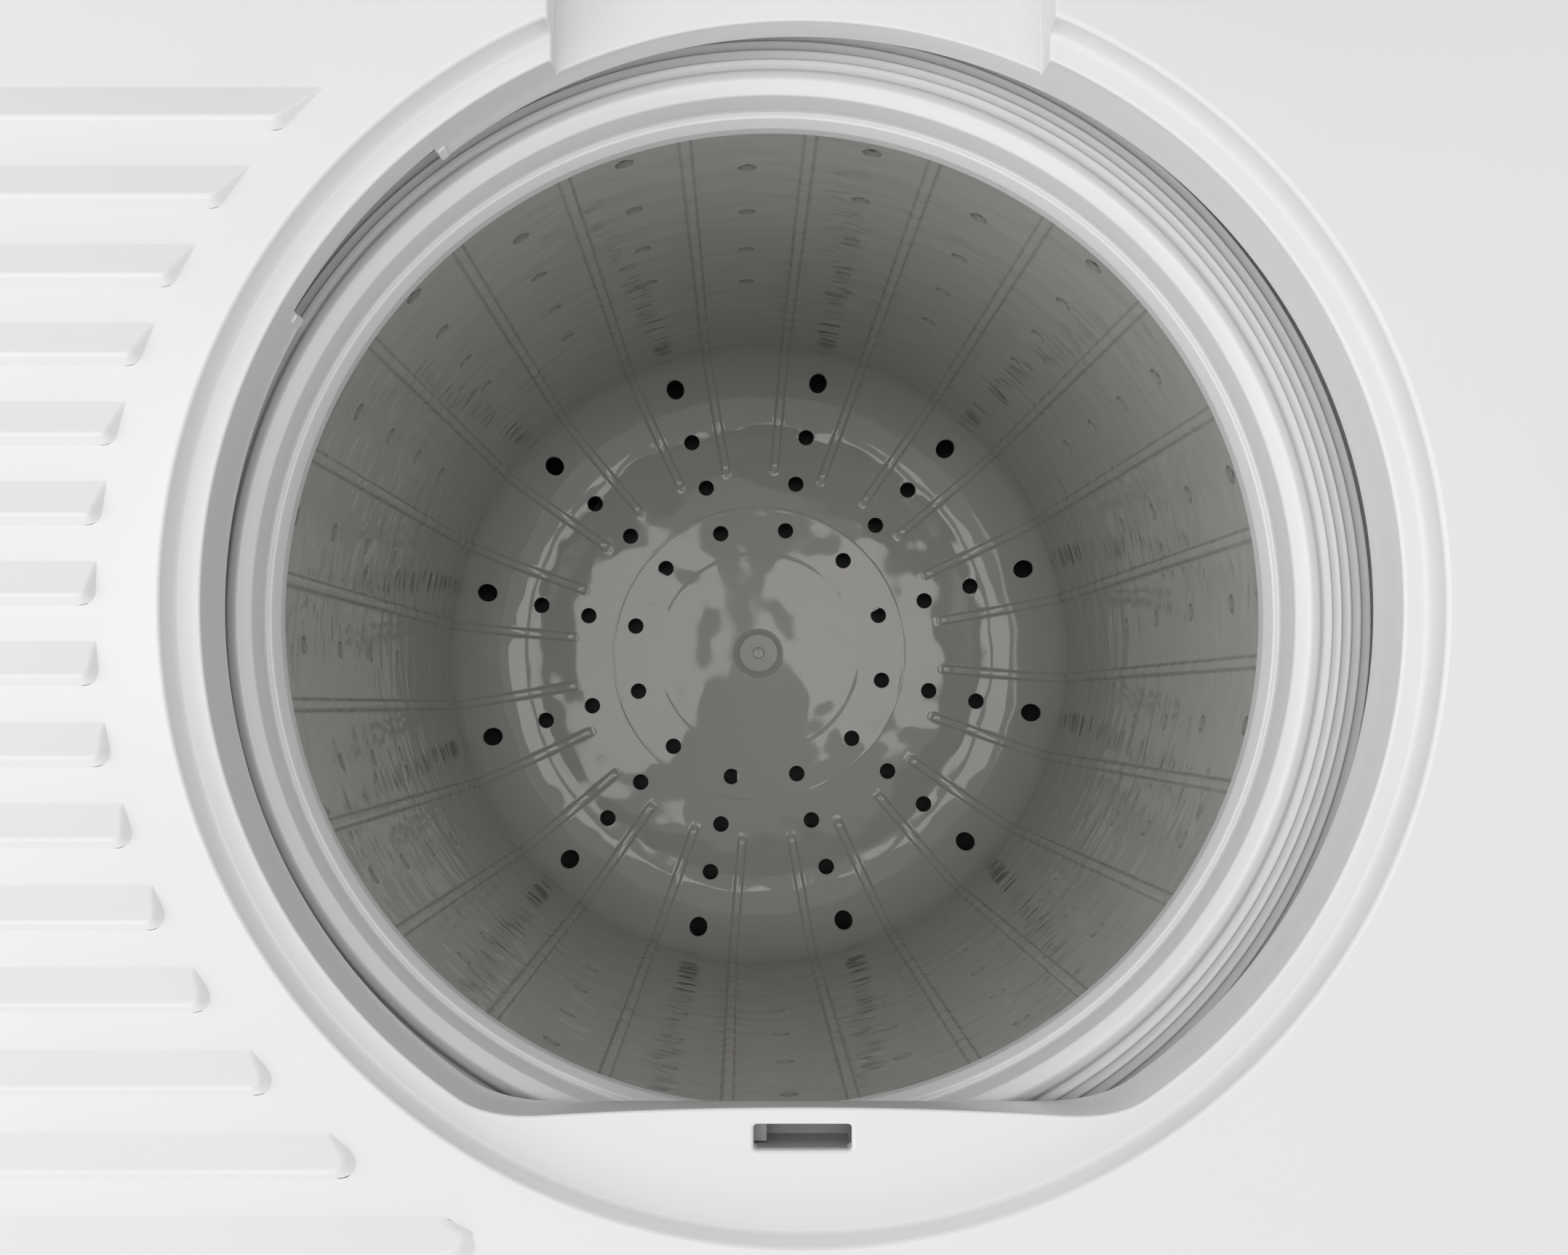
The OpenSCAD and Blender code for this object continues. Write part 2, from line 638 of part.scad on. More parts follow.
module motor_shaft() color("silver")
    at_motor() translate([0, 0, belt_z - belt_h / 2 - 8])
        cylinder(r = 8, h = motor_z + 50 - belt_z + belt_h / 2 + 8);
module pulley(r, bore, hub)
    difference() {
        union() {
            translate([0, 0, -belt_h / 2 - 2.5]) cylinder(r = r + 4, h = 2.5);
            translate([0, 0, -belt_h / 2 - 0.01]) cylinder(r = r - fit_gap, h = belt_h + 0.02);
            translate([0, 0, belt_h / 2]) cylinder(r = r + 4, h = 2.5);
            translate([0, 0, -belt_h / 2 - 5]) cylinder(r = hub, h = belt_h + 7.5);
        }
        translate([0, 0, -30]) cylinder(r = bore, h = 60);
        if (r > 40) for (a = [0:60:300]) rotate([0, 0, a]) translate([r * 0.68, 0, -30])
            cylinder(r = 10, h = 60);
    }
module motor_pulley() color("silver") at_motor() translate([0, 0, belt_z]) pulley(motor_pulley_r, 8, 14);
module spin_pulley() color("silver") at_axis(belt_z - deck_z) {
    pulley(spin_pulley_r, shaft_r, 20);
    translate([0, 0, belt_h / 2 + 2.49]) ring(drum_r - 4, drum_r, 12);
}
function arc_points(cy, r, from, to, n)
    = [for (i = [0:n]) let (a = from + (to - from) * i / n) [r * cos(a), cy + r * sin(a)]];
function belt_points(off) =
    let (lean = asin((spin_pulley_r - motor_pulley_r) / belt_span))
        concat(arc_points(0, spin_pulley_r + off, 180 - lean, 360 + lean, 30),
            arc_points(belt_span, motor_pulley_r + off, lean, 180 - lean, 14));
module drive_belt() color("black")
    at_axis(belt_z - deck_z - belt_h / 2 + 0.4) linear_extrude(belt_h - 0.8) difference() {
        polygon(belt_points(belt_t));
        polygon(belt_points(0));
    }
module spin_shaft() color("silver")
    at_axis(belt_z - deck_z - 14) cylinder(r = shaft_r, h = deck_z - belt_z + 14 - basket_drop - wall_t - 2);

// Brake
brake_z = belt_z + belt_h / 2 + 4.5;
shoe_out = 4;
module brake_shoe() color("brown")
    translate([axis_x, axis_y, brake_z]) {
        rotate([0, 0, 155]) rotate_extrude(angle = 50, $fn = 180) translate([drum_r + fit_gap, 0])
            square([shoe_out, 8]);
        translate([-drum_r - 38, -3.5, 0.5]) cube([36, 7, 7]);
    }
module brake_solenoid() color("dimgray")
    translate([axis_x - drum_r - 66, axis_y - 12, brake_z - 1.5]) difference() {
        union() {
            cube([46, 24, 14]);
            translate([6, 6, 13]) cube([26, 12, deck_z + tub_z - brake_z - 11.6]);
        }
        translate([20, 8.2, 1.7]) cube([40, 7.6, 7.6]);
    }

// Basket ----------------------------------------------------------------------
function corner_curve(r0, r1, z0, rise, n) = [for (i = [0:n])
    let (a = 90 * i / n) [r0 + (r1 - r0) * sin(a), z0 + rise * (1 - cos(a))]];
module basket_profile() {
    inner = corner_curve(flat_r, basket_r, -basket_drop, corner_rise, 12);
    outer = corner_curve(flat_r + 1, basket_r + wall_t, -basket_drop - wall_t, corner_rise + wall_t, 12);
    polygon(concat([[0, -basket_drop]], inner,
        [[basket_r, -ring_bottom_drop + 3], [basket_r + wall_t, -ring_bottom_drop + 3]],
        [for (i = [12:-1:0]) outer[i]], [[0, -basket_drop - wall_t]]));
}
module basket_beads()
    for (i = [0:bead_count - 1]) rotate([0, 0, bead_first + i * 360 / bead_count])
        translate([basket_r - bead_r, -bead_r, -basket_drop + corner_rise + 3])
            cube([bead_r + wall_t / 2, 2 * bead_r, basket_drop - corner_rise - 3 - ring_bottom_drop]);
module floor_drilling()
    for (i = [0:spoke_count - 1], h = floor_holes) rotate([0, 0, spoke_first + i * 360 / spoke_count])
        translate([h[0], 0, -basket_drop - 20]) cylinder(r = h[1], h = 50);
module wall_drilling()
    for (i = [0:bead_count - 1], j = [0:wall_hole_rows - 1])
        let (shift = i % 2 == 0 ? 0.5 : 0)
            rotate([0, 0, spoke_first + i * 360 / bead_count])
                translate([basket_r - 6, 0,
                    -mouth_drop - wall_hole_first - (j + (i % 2 == 0 ? -0.5 : 0)) * wall_hole_pitch])
                    rotate([0, 90, 0]) cylinder(r = wall_hole_r, h = 20);
module basket() color("lightgray")
    at_axis() difference() {
        union() {
            rotate_extrude($fn = 180) basket_profile();
            basket_beads();
        }
        floor_drilling();
        wall_drilling();
    }
module balance_ring() color("white")
    at_axis() rotate_extrude($fn = 180) polygon(concat(
        [[mouth_r, -mouth_drop - 2], [mouth_r, -mouth_drop], [ring_lip_r, -lip_drop],
            [ring_band_r, -band_drop]],
        [for (i = [0:6]) let (a = 180 - 30 * i)
            [(ring_band_r + ring_crown_r) / 2 + (ring_crown_r - ring_band_r) / 2 * cos(a),
                -band_drop + crown_rise * sin(a)]],
        [for (i = [0:ring_steps - 1]) each [
            [ring_crown_r + i * ring_step, -band_drop - 1 - i * ring_step_drop],
            [ring_crown_r + (i + 1) * ring_step, -band_drop - 1 - i * ring_step_drop]]],
        [[ring_outer_r, -band_drop - 6], [ring_outer_r, -ring_bottom_drop],
            [basket_r + wall_t, -ring_bottom_drop], [basket_r + wall_t, -ring_bottom_drop + 3.05],
            [basket_r - 0.5, -ring_bottom_drop + 3.05]]));
module drive_hub() color("dimgray")
    at_axis(-basket_drop - wall_t - 12) difference() {
        union() {
            cylinder(r = 30, h = 12);
            for (a = [30:120:270]) rotate([0, 0, a]) translate([0, -11, 4]) cube([96, 22, 8]);
        }
        translate([0, 0, -1]) cylinder(r = shaft_r, h = 11);
    }
module hub_cap() color("lightgray")
    at_axis(-basket_drop) difference() {
        union() {
            cylinder(r = hub_cap_r, h = 1.6);
            translate([0, 0, 1.6 - 0.01]) cylinder(r1 = hub_cap_r - 0.6, r2 = hub_cap_r - 2.4, h = 1.2);
        }
        translate([0, 0, 2.2]) cylinder(r = 3, h = 3);
    }

// Water in -----------------------------------------------------------------------
valve_x = -95;
valve_z = 610;
valve_pin_r = 13.2;
module inlet_valve() color("white")
    translate([valve_x, 0, valve_z]) {
        translate([-20, rear_y - 34, -16]) cube([40, 34, 32]);
        translate([0, rear_y - 1, 0]) rotate([-90, 0, 0]) difference() {
            cylinder(r = valve_pin_r, h = 20);
            translate([0, 0, 4]) cylinder(r = 7.5, h = 20);
        }
        translate([0, rear_y - 17, 15]) cylinder(r = 13, h = 16);
        translate([-8, rear_y - 60 + 0.01, -8]) cube([16, 27, 16]);
    }
chute_a = 140;
chute_drop = 25;
module chute_mouth(side, lift) at_opening() rotate([0, 0, chute_a])
    translate([161, -22 + side, lift - chute_drop]) cube([39, 44 - 2 * side, 12 - 2 * lift]);
module fill_chute() color("lightgray")
    difference() {
        union() {
            chute_mouth(0, 0);
            translate([-146, 92, deck_z - chute_drop - 0.7]) cube([60, 58, 13.4]);
            translate([valve_x - 8, rear_y - 76, valve_z - 8])
                cube([16, 16, deck_z - chute_drop - valve_z + 9]);
        }
        at_opening() rotate([0, 0, chute_a]) translate([150, -20, 2 - chute_drop]) cube([45, 40, 8]);
        translate([-144, 94, deck_z - chute_drop + 1.3]) cube([56, 54, 9.4]);
        translate([valve_x - 6, rear_y - 74, valve_z - 6]) cube([12, 12, deck_z - chute_drop - valve_z + 10]);
        translate([valve_x - 5.5, rear_y - 64, valve_z - 5.5]) cube([11, 10, 11]);
    }

// Water out ------------------------------------------------------------------------
bellows_top = deck_z - tub_floor_drop - 31;
bellows_bottom = pump_z + pump_r + 14;
module sump_bellows() color("black")
    translate([sump_x, sump_y, bellows_bottom]) {
        folds = 8;
        h = bellows_top - bellows_bottom;
        difference() {
            union() {
                cylinder(r = 16, h = h);
                for (i = [0:folds - 1]) translate([0, 0, (i + 0.25) * h / folds])
                    cylinder(r = 19.5, h = h / folds / 2);
            }
            translate([0, 0, -1]) cylinder(r = 13.5, h = h + 2);
            for (i = [0:folds - 1]) translate([0, 0, (i + 0.35) * h / folds])
                cylinder(r = 17, h = h / folds * 0.3);
        }
    }
module drain_pump() color("dimgray")
    translate([sump_x, sump_y, pump_z]) difference() {
        union() {
            rotate([90, 0, 0]) cylinder(r = pump_r, h = 34, center = true);
            cylinder(r = 15, h = pump_r + 14);
            translate([0, -15, 0]) rotate([90, 0, 0]) cylinder(r = 26, h = 46);
            translate([-34, -18, foot_h + 8.01 - pump_z]) cube([68, 36, 40]);
        }
        rotate([90, 0, 0]) cylinder(r = pump_r - 4, h = 26, center = true);
        cylinder(r = 11, h = 80);
        translate([0, -12, 0]) rotate([90, 0, 0]) cylinder(r = 3 + run_gap, h = 30);
        translate([0, 8, 0]) rotate([-90, 0, 0]) cylinder(r = spigot_r - 2.5, h = 20);
    }
module pump_impeller() color("white")
    translate([sump_x, sump_y, pump_z]) rotate([90, 0, 0]) {
        translate([0, 0, -8]) cylinder(r = 9, h = 16);
        cylinder(r = 3, h = 34);
        for (a = [0:60:300]) rotate([0, 0, a]) translate([7, -1.2, -8]) cube([18, 2.4, 14]);
    }
spigot_l = 12;
drain_run = cab_d / 2 - 2 - sump_y - 17;
module drain_outlet() color("gray")
    translate([sump_x, sump_y + 17.01, pump_z]) rotate([-90, 0, 0]) difference() {
        union() {
            cylinder(r = spigot_r - 0.8, h = drain_run);
            cylinder(r = spigot_r + 4, h = 4);
            translate([0, 0, drain_run - spigot_l]) cylinder(r = spigot_r, h = spigot_l);
            translate([0, 0, drain_run - spigot_l - 3]) cylinder(r = spigot_r + 3, h = 3);
        }
        translate([0, 0, -1]) cylinder(r = spigot_r - 2.5, h = 300);
    }

// Electrics ----------------------------------------------------------------------
gland_x = 176;
gland_z = 110;
module run_capacitor() color("silver")
    translate([150, 120, foot_h + 8 + 0.01]) {
        cylinder(r = 20, h = 62);
        ring(20.01, 23, 14);
    }
module cable_gland() color("black")
    translate([gland_x, rear_y, gland_z]) rotate([-90, 0, 0]) difference() {
        union() {
            translate([0, 0, -6]) cylinder(r = 6.9, h = 12);
            translate([0, 0, sheet_t]) cylinder(r = 11, h = 5, $fn = 6);
            translate([0, 0, 6]) cylinder(r1 = 8, r2 = 6, h = 14);
            translate([0, 0, -6]) cylinder(r = 10, h = 6 - 0.01);
        }
        translate([0, 0, -10]) cylinder(r = 3.5, h = 50);
    }

cabinet_shell();
rear_panel();
base_frame();
rear_feet();
foot_front_left();
foot_front_right();
corner_brackets();
suspension_rods();
rod_seats();
spring_cups();
suspension_springs();
top_deck();
console_housing();
console_fascia();
dial_trims();
indicator_lens();
timer_control();
selector_switch();
pressure_switch();
timer_knob();
selector_knob();
level_knob();
start_button();
start_switch();
lid();
lid_hook();
lid_bumpers();
lid_hinge_pins();
lid_rest_bumpers();
lid_switch_housing();
lid_switch_plunger();
outer_tub();
tub_ring();
bearing_housing();
upper_bearing();
lower_bearing();
shaft_seal();
motor_bracket();
drive_motor();
housing_bolts();
drive_belt();
brake_solenoid();
brake_shoe();
basket();
balance_ring();
drive_hub();
hub_cap();
spin_shaft();
spin_pulley();
motor_shaft();
motor_pulley();
inlet_valve();
fill_chute();
drain_pump();
pump_impeller();
drain_outlet();
sump_bellows();
run_capacitor();
cable_gland();
rear_panel_screws();
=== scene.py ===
"""Looks for the compact top load washing machine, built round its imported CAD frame.

Lengths in the shape code are millimetres about the loading opening's centre, at deck level. The
functions that make objects turn them into metres in the frame.
"""
import json
import math

import bmesh
import bpy
from mathutils import Matrix, Vector
from mathutils.geometry import tessellate_polygon


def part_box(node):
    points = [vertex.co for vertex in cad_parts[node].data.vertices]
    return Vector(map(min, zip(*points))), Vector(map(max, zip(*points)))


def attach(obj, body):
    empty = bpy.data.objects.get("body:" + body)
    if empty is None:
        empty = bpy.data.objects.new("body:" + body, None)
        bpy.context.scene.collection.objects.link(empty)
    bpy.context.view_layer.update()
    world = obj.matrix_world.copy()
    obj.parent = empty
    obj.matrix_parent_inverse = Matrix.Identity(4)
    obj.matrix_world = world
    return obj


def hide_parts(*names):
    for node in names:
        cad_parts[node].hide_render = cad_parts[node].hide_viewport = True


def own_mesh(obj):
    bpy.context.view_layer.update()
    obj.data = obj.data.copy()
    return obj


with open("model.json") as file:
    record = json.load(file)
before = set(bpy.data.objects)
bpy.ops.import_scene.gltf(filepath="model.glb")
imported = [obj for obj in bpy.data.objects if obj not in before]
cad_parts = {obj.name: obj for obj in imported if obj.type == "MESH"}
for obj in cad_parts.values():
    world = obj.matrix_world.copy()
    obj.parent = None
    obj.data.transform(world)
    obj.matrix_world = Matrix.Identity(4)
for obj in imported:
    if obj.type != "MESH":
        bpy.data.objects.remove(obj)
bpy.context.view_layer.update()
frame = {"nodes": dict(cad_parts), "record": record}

MM = 0.001

# Places, from the frame -------------------------------------------------------
JOINTS = {joint["name"]: joint for joint in frame["record"]["behaviour"]["joints"]}
HINGE = Vector(JOINTS["lid_hinge"]["pos_m"]) / MM
HINGE_Y = 190.0
HINGE_DROP = 8.0
OPENING = Vector((HINGE.x, HINGE.y - HINGE_Y, HINGE.z + HINGE_DROP))
SPIN = Vector(JOINTS["basket_spin"]["pos_m"]) / MM
AXIS = Vector((SPIN.x, SPIN.y, OPENING.z))
LID_OPEN = math.radians(JOINTS["lid_hinge"]["range_deg"][1])


def box_mm(node):
    """A node's lowest and highest corners in millimetres."""
    lo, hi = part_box(node)
    return Vector(lo) / MM, Vector(hi) / MM


# Materials ---------------------------------------------------------------------
PLASTIC_IOR = 1.5
COAT_ROUGHNESS = 0.08
NOISE_LOW = 0.3
NOISE_HIGH = 0.7
DRIFT_SCALE = 9.0
GLOSS_SCALE = 60.0
WAVE_STRETCH = (0.33, 0.33, 1.0)
FINE_GRAIN = 1500.0
FINE_DEPTH = 0.00001


def new_material(name):
    material = bpy.data.materials.new(name)
    material.use_nodes = True
    tree = material.node_tree
    return material, tree, tree.nodes["Principled BSDF"]


def link(tree, a, out, b, socket):
    tree.links.new(a.outputs[out], b.inputs[socket])


def noise_node(tree, scale, detail=3.0, stretch=None):
    """A noise texture in object space, with its scale per metre."""
    coords = tree.nodes.new("ShaderNodeTexCoord")
    noise = tree.nodes.new("ShaderNodeTexNoise")
    noise.inputs["Scale"].default_value = scale
    noise.inputs["Detail"].default_value = detail
    if stretch is None:
        link(tree, coords, "Object", noise, "Vector")
    else:
        mapping = tree.nodes.new("ShaderNodeMapping")
        mapping.inputs["Scale"].default_value = stretch
        link(tree, coords, "Object", mapping, "Vector")
        link(tree, mapping, "Vector", noise, "Vector")
    return noise


def ramp_node(tree, source, low, high):
    """A colour ramp over a noise, from one colour to the other."""
    ramp = tree.nodes.new("ShaderNodeValToRGB")
    ramp.color_ramp.elements[0].position = NOISE_LOW
    ramp.color_ramp.elements[1].position = NOISE_HIGH
    ramp.color_ramp.elements[0].color = (*low, 1)
    ramp.color_ramp.elements[1].color = (*high, 1)
    link(tree, source, "Fac", ramp, "Fac")
    return ramp


def range_node(tree, source, low, high):
    """A noise mapped to a range of values."""
    fit = tree.nodes.new("ShaderNodeMapRange")
    fit.inputs["From Min"].default_value = NOISE_LOW
    fit.inputs["From Max"].default_value = NOISE_HIGH
    fit.inputs["To Min"].default_value = low
    fit.inputs["To Max"].default_value = high
    link(tree, source, "Fac", fit, "Value")
    return fit


def add_bump(tree, shader, source, strength, distance):
    """A bump from a noise, linked to the shader's normal."""
    bump = tree.nodes.new("ShaderNodeBump")
    bump.inputs["Strength"].default_value = strength
    bump.inputs["Distance"].default_value = distance
    link(tree, source, "Fac", bump, "Height")
    link(tree, bump, "Normal", shader, "Normal")
    return bump


def surface(name, colour, spread, rough, grain, depth, metallic=0.0, patch=14.0, stretch=None, coat=0.0):
    """A moulded, painted or metal surface: slight colour drift, uneven gloss and a fine grain."""
    material, tree, shader = new_material(name)
    shader.inputs["Metallic"].default_value = metallic
    shader.inputs["IOR"].default_value = PLASTIC_IOR
    shader.inputs["Coat Weight"].default_value = coat
    shader.inputs["Coat Roughness"].default_value = COAT_ROUGHNESS
    drift = noise_node(tree, patch)
    low = tuple(max(c * (1 - spread), 0) for c in colour)
    high = tuple(min(c * (1 + spread), 1) for c in colour)
    link(tree, ramp_node(tree, drift, low, high), "Color", shader, "Base Color")
    fine = noise_node(tree, grain, 4.0, stretch)
    link(tree, range_node(tree, fine, *rough), "Result", shader, "Roughness")
    add_bump(tree, shader, fine, 0.5, depth)
    return material


def wavy(name, colour, rough, wave, depth, spread=0.03):
    """Glossy plastic whose mirror images waver, as a large thin moulding's do."""
    material, tree, shader = new_material(name)
    shader.inputs["IOR"].default_value = PLASTIC_IOR
    drift = noise_node(tree, DRIFT_SCALE)
    low = tuple(c * (1 - spread) for c in colour)
    high = tuple(min(c * (1 + spread), 1) for c in colour)
    link(tree, ramp_node(tree, drift, low, high), "Color", shader, "Base Color")
    link(tree, range_node(tree, noise_node(tree, GLOSS_SCALE), *rough), "Result", shader, "Roughness")
    long_wave = noise_node(tree, wave, 1.2, WAVE_STRETCH)
    first = add_bump(tree, shader, long_wave, 1.0, depth)
    fine = noise_node(tree, FINE_GRAIN, 2.0)
    second = add_bump(tree, shader, fine, 0.25, FINE_DEPTH)
    link(tree, first, "Normal", second, "Normal")
    return material


def make_materials():
    """Every material, by the short name the rest of the script uses."""
    return {
        "deck": surface("deck_white", (0.85, 0.853, 0.858), 0.006, (0.17, 0.23), 1600, 0.000004),
        "lid": surface("lid_white", (0.845, 0.848, 0.853), 0.006, (0.17, 0.23), 1600, 0.000004),
        "ring": surface("ring_white", (0.86, 0.863, 0.872), 0.006, (0.2, 0.26), 1400, 0.000003),
        "basket": wavy("basket_grey", (0.56, 0.55, 0.53), (0.03, 0.055), 95.0, 0.0009),
        "cap": surface("cap_grey", (0.56, 0.55, 0.53), 0.02, (0.1, 0.2), 1200, 0.00001),
        "enamel": surface("cabinet_enamel", (0.8, 0.81, 0.815), 0.008, (0.26, 0.34), 700, 0.00003, coat=0.3),
        "tub": surface("tub_dark", (0.035, 0.035, 0.034), 0.03, (0.45, 0.55), 500, 0.00003),
        "rim": surface("tub_rim", (0.62, 0.62, 0.65), 0.02, (0.35, 0.45), 700, 0.00002),
        # painted shade: the latch switch housing and plunger get a mid grey, darker than the white deck, so
        # the latch slot reads as shaded and the plunger, which catches more light, does not stand out
        "pocket": surface("latch_pocket_painted_shade", (0.42, 0.425, 0.44), 0.03, (0.4, 0.5), 900, 0.00002),
        "grey": surface("housing_grey", (0.06, 0.062, 0.066), 0.1, (0.45, 0.6), 900, 0.00005),
        "base": surface("base_grey", (0.1, 0.103, 0.108), 0.06, (0.5, 0.65), 800, 0.00006),
        "fascia": surface("fascia_grey", (0.56, 0.575, 0.59), 0.015, (0.32, 0.42), 1500, 0.00002),
        "knob": surface("knob_silver", (0.5, 0.52, 0.54), 0.02, (0.28, 0.36), 1500, 0.00002, coat=0.2),
        "trim": surface("trim_chrome", (0.75, 0.76, 0.78), 0.02, (0.12, 0.22), 900, 0.00001, 1.0),
        "key": surface("key_blue", (0.03, 0.12, 0.27), 0.04, (0.25, 0.33), 1500, 0.00001, coat=0.3),
        "rubber": surface("black_rubber", (0.018, 0.018, 0.02), 0.15, (0.6, 0.78), 700, 0.00008),
        "pad": surface("grey_rubber", (0.25, 0.255, 0.26), 0.06, (0.6, 0.75), 700, 0.00006),
        "zinc": surface("galvanised", (0.55, 0.57, 0.58), 0.12, (0.3, 0.5), 250, 0.00002, 1.0, patch=70),
        "steel": surface("bright_steel", (0.52, 0.53, 0.54), 0.05, (0.2, 0.34), 500, 0.00002, 1.0,
                         stretch=(1, 1, 12)),
        "cast": surface("cast_aluminium", (0.5, 0.51, 0.52), 0.06, (0.42, 0.58), 900, 0.0001, 1.0),
        "motor": surface("motor_black", (0.03, 0.031, 0.034), 0.1, (0.38, 0.5), 600, 0.00004),
        "nylon": surface("nylon_cream", (0.68, 0.65, 0.56), 0.03, (0.42, 0.52), 900, 0.00003),
        "can": surface("capacitor_can", (0.62, 0.63, 0.64), 0.04, (0.25, 0.4), 400, 0.00002, 1.0,
                       stretch=(1, 1, 20)),
        "lining": surface("brake_lining", (0.13, 0.07, 0.045), 0.2, (0.7, 0.85), 1400, 0.0001),
        "lens": surface("lens_amber", (0.8, 0.33, 0.03), 0.03, (0.08, 0.14), 900, 0.000005, coat=0.6),
        "mark": surface("dial_mark", (0.05, 0.055, 0.06), 0.05, (0.4, 0.5), 900, 0.00001),
        "valve": surface("valve_blue", (0.5, 0.53, 0.56), 0.03, (0.4, 0.5), 900, 0.00003),
    }


MAT = make_materials()


# Making objects ----------------------------------------------------------------
def finish_piece(obj, material, body, stands_for=(), sharp=35.0, weighted=True):
    """Smooths a new piece, gives it its material and hangs it on its body."""
    mesh = obj.data
    mesh.polygons.foreach_set("use_smooth", [True] * len(mesh.polygons))
    mesh.set_sharp_from_angle(angle=math.radians(sharp))
    mesh.materials.clear()
    mesh.materials.append(MAT[material])
    if weighted:
        modifier = obj.modifiers.new("weights", "WEIGHTED_NORMAL")
        modifier.keep_sharp = True
    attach(obj, body)
    if stands_for:
        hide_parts(*stands_for)
    return obj


def object_from(name, points, faces, origin=OPENING):
    """A mesh object from millimetre points about an origin."""
    mesh = bpy.data.meshes.new(name)
    mesh.from_pydata([(Vector(p) + origin) * MM for p in points], [], faces)
    mesh.update()
    obj = bpy.data.objects.new(name, mesh)
    bpy.context.scene.collection.objects.link(obj)
    return obj


def clean(obj, gap=0.01):
    """Welds points that meet and turns every face outwards."""
    bm = bmesh.new()
    bm.from_mesh(obj.data)
    bmesh.ops.remove_doubles(bm, verts=bm.verts, dist=gap * MM)
    bmesh.ops.dissolve_degenerate(bm, edges=bm.edges, dist=gap * MM)
    bmesh.ops.recalc_face_normals(bm, faces=bm.faces)
    bm.to_mesh(obj.data)
    bm.free()
    return obj


def apply_modifiers(obj):
    """Replaces an object's mesh by the one its modifiers make."""
    graph = bpy.context.evaluated_depsgraph_get()
    graph.update()
    made = bpy.data.meshes.new_from_object(obj.evaluated_get(graph))
    obj.modifiers.clear()
    old = obj.data
    obj.data = made
    bpy.data.meshes.remove(old)
    return obj


def join(first, *others):
    """Adds the other objects' meshes to the first."""
    bm = bmesh.new()
    for obj in (first, *others):
        bm.from_mesh(obj.data)
    bm.to_mesh(first.data)
    bm.free()
    for obj in others:
        bpy.data.objects.remove(obj)
    return first


class Shape:
    """Points and faces that are gathered before they become one mesh."""

    def __init__(self):
        self.points = []
        self.faces = []

    def loop(self, points):
        """Adds points and returns their numbers."""
        start = len(self.points)
        self.points.extend(points)
        return list(range(start, start + len(points)))

    def bridge(self, a, b, closed=True):
        """Faces between two loops with the same number of points."""
        n = len(a)
        for i in range(n if closed else n - 1):
            j = (i + 1) % n
            self.faces.append((a[i], a[j], b[j], b[i]))

    def loft(self, loops, closed=True):
        """Adds loops and bridges each one to the next."""
        rows = [self.loop(points) for points in loops]
        for a, b in zip(rows, rows[1:]):
            self.bridge(a, b, closed)
        return rows

    def fill(self, outlines, z):
        """A flat face over outlines, the first one outside and the rest holes."""
        flat = [[Vector((p[0], p[1], 0)) for p in outline] for outline in outlines]
        start = self.loop([(p[0], p[1], z) for outline in outlines for p in outline])[0]
        for a, b, c in tessellate_polygon(flat):
            self.faces.append((start + a, start + b, start + c))

    def made(self, name, origin=OPENING):
        return object_from(name, self.points, self.faces, origin)


def circle(radius, z, steps):
    """Points round the upright axis at a height."""
    turns = [2 * math.pi * i / steps for i in range(steps)]
    return [(radius * math.cos(a), radius * math.sin(a), z) for a in turns]


def rounded(corners, steps=5):
    """A profile from (r, z, radius) corners, each rounded by a curve of about that radius."""
    out = []
    for i, (x, y, radius) in enumerate(corners):
        if radius <= 0 or i in (0, len(corners) - 1):
            out.append((x, y))
            continue
        here = Vector((x, y))
        before = Vector(corners[i - 1][:2]) - here
        after = Vector(corners[i + 1][:2]) - here
        half = before.angle(after) / 2
        reach = min(radius / math.tan(half), 0.49 * before.length, 0.49 * after.length)
        start = here + before.normalized() * reach
        end = here + after.normalized() * reach
        for k in range(steps + 1):
            t = k / steps
            out.append(tuple(start * (1 - t) ** 2 + here * 2 * t * (1 - t) + end * t ** 2))
    return out


def revolve(name, profile, origin, steps=256, closed=False):
    """A turned piece about the origin's upright axis."""
    shape = Shape()
    loops = [circle(max(r, 0.001), z, steps) for r, z in profile]
    if closed:
        loops.append(loops[0])
    shape.loft(loops)
    return clean(shape.made(name, origin))


def face_matrix(joint):
    """The tilt of a control on the console, with +Z out of the face."""
    out = Vector(JOINTS[joint]["axis"])
    if JOINTS[joint]["type"] == "slide":
        out = -out
    side = Vector((1, 0, 0))
    up = out.cross(side)
    return Matrix((side, up, out)).transposed().to_4x4()


# Loading opening -----------------------------------------------------------------
RECESS_R = 161.6
RECESS_DEPTH = 8.0
COLLAR_R = 154.2
COLLAR_FOOT_R = 153.7
COLLAR_DROP = 26.4
CHANNEL_HALF = 65.0
CHANNEL_DEPTH = 17.0
CHANNEL_BACK = HINGE_Y + 11.0
LEDGE_MID = 129.6
LEDGE_BOW = 2.8
LEDGE_FOOT = 132.4
LEDGE_HALF = 78.0
CORNER_BLEND = 7.0
NOTCH = (129.0, 150.5)
NOTCH_RISE = 9.0
SLOT_SIZE = (24.7, 6.4)
SLOT_Y = -137.0
SHEET = 2.5
SOFT_EDGE = 0.8
COLUMNS = 590
FRONT_ANGLE = -90.0
RIM_GROW = 0.9
LEDGE_REACH = 66
FOOT_LIFT = 0.5


def soft_min(a, b, k):
    """The smaller of two values, blended where they come within k of each other."""
    h = max(k - abs(a - b), 0.0) / k
    return min(a, b) - h * h * k / 4


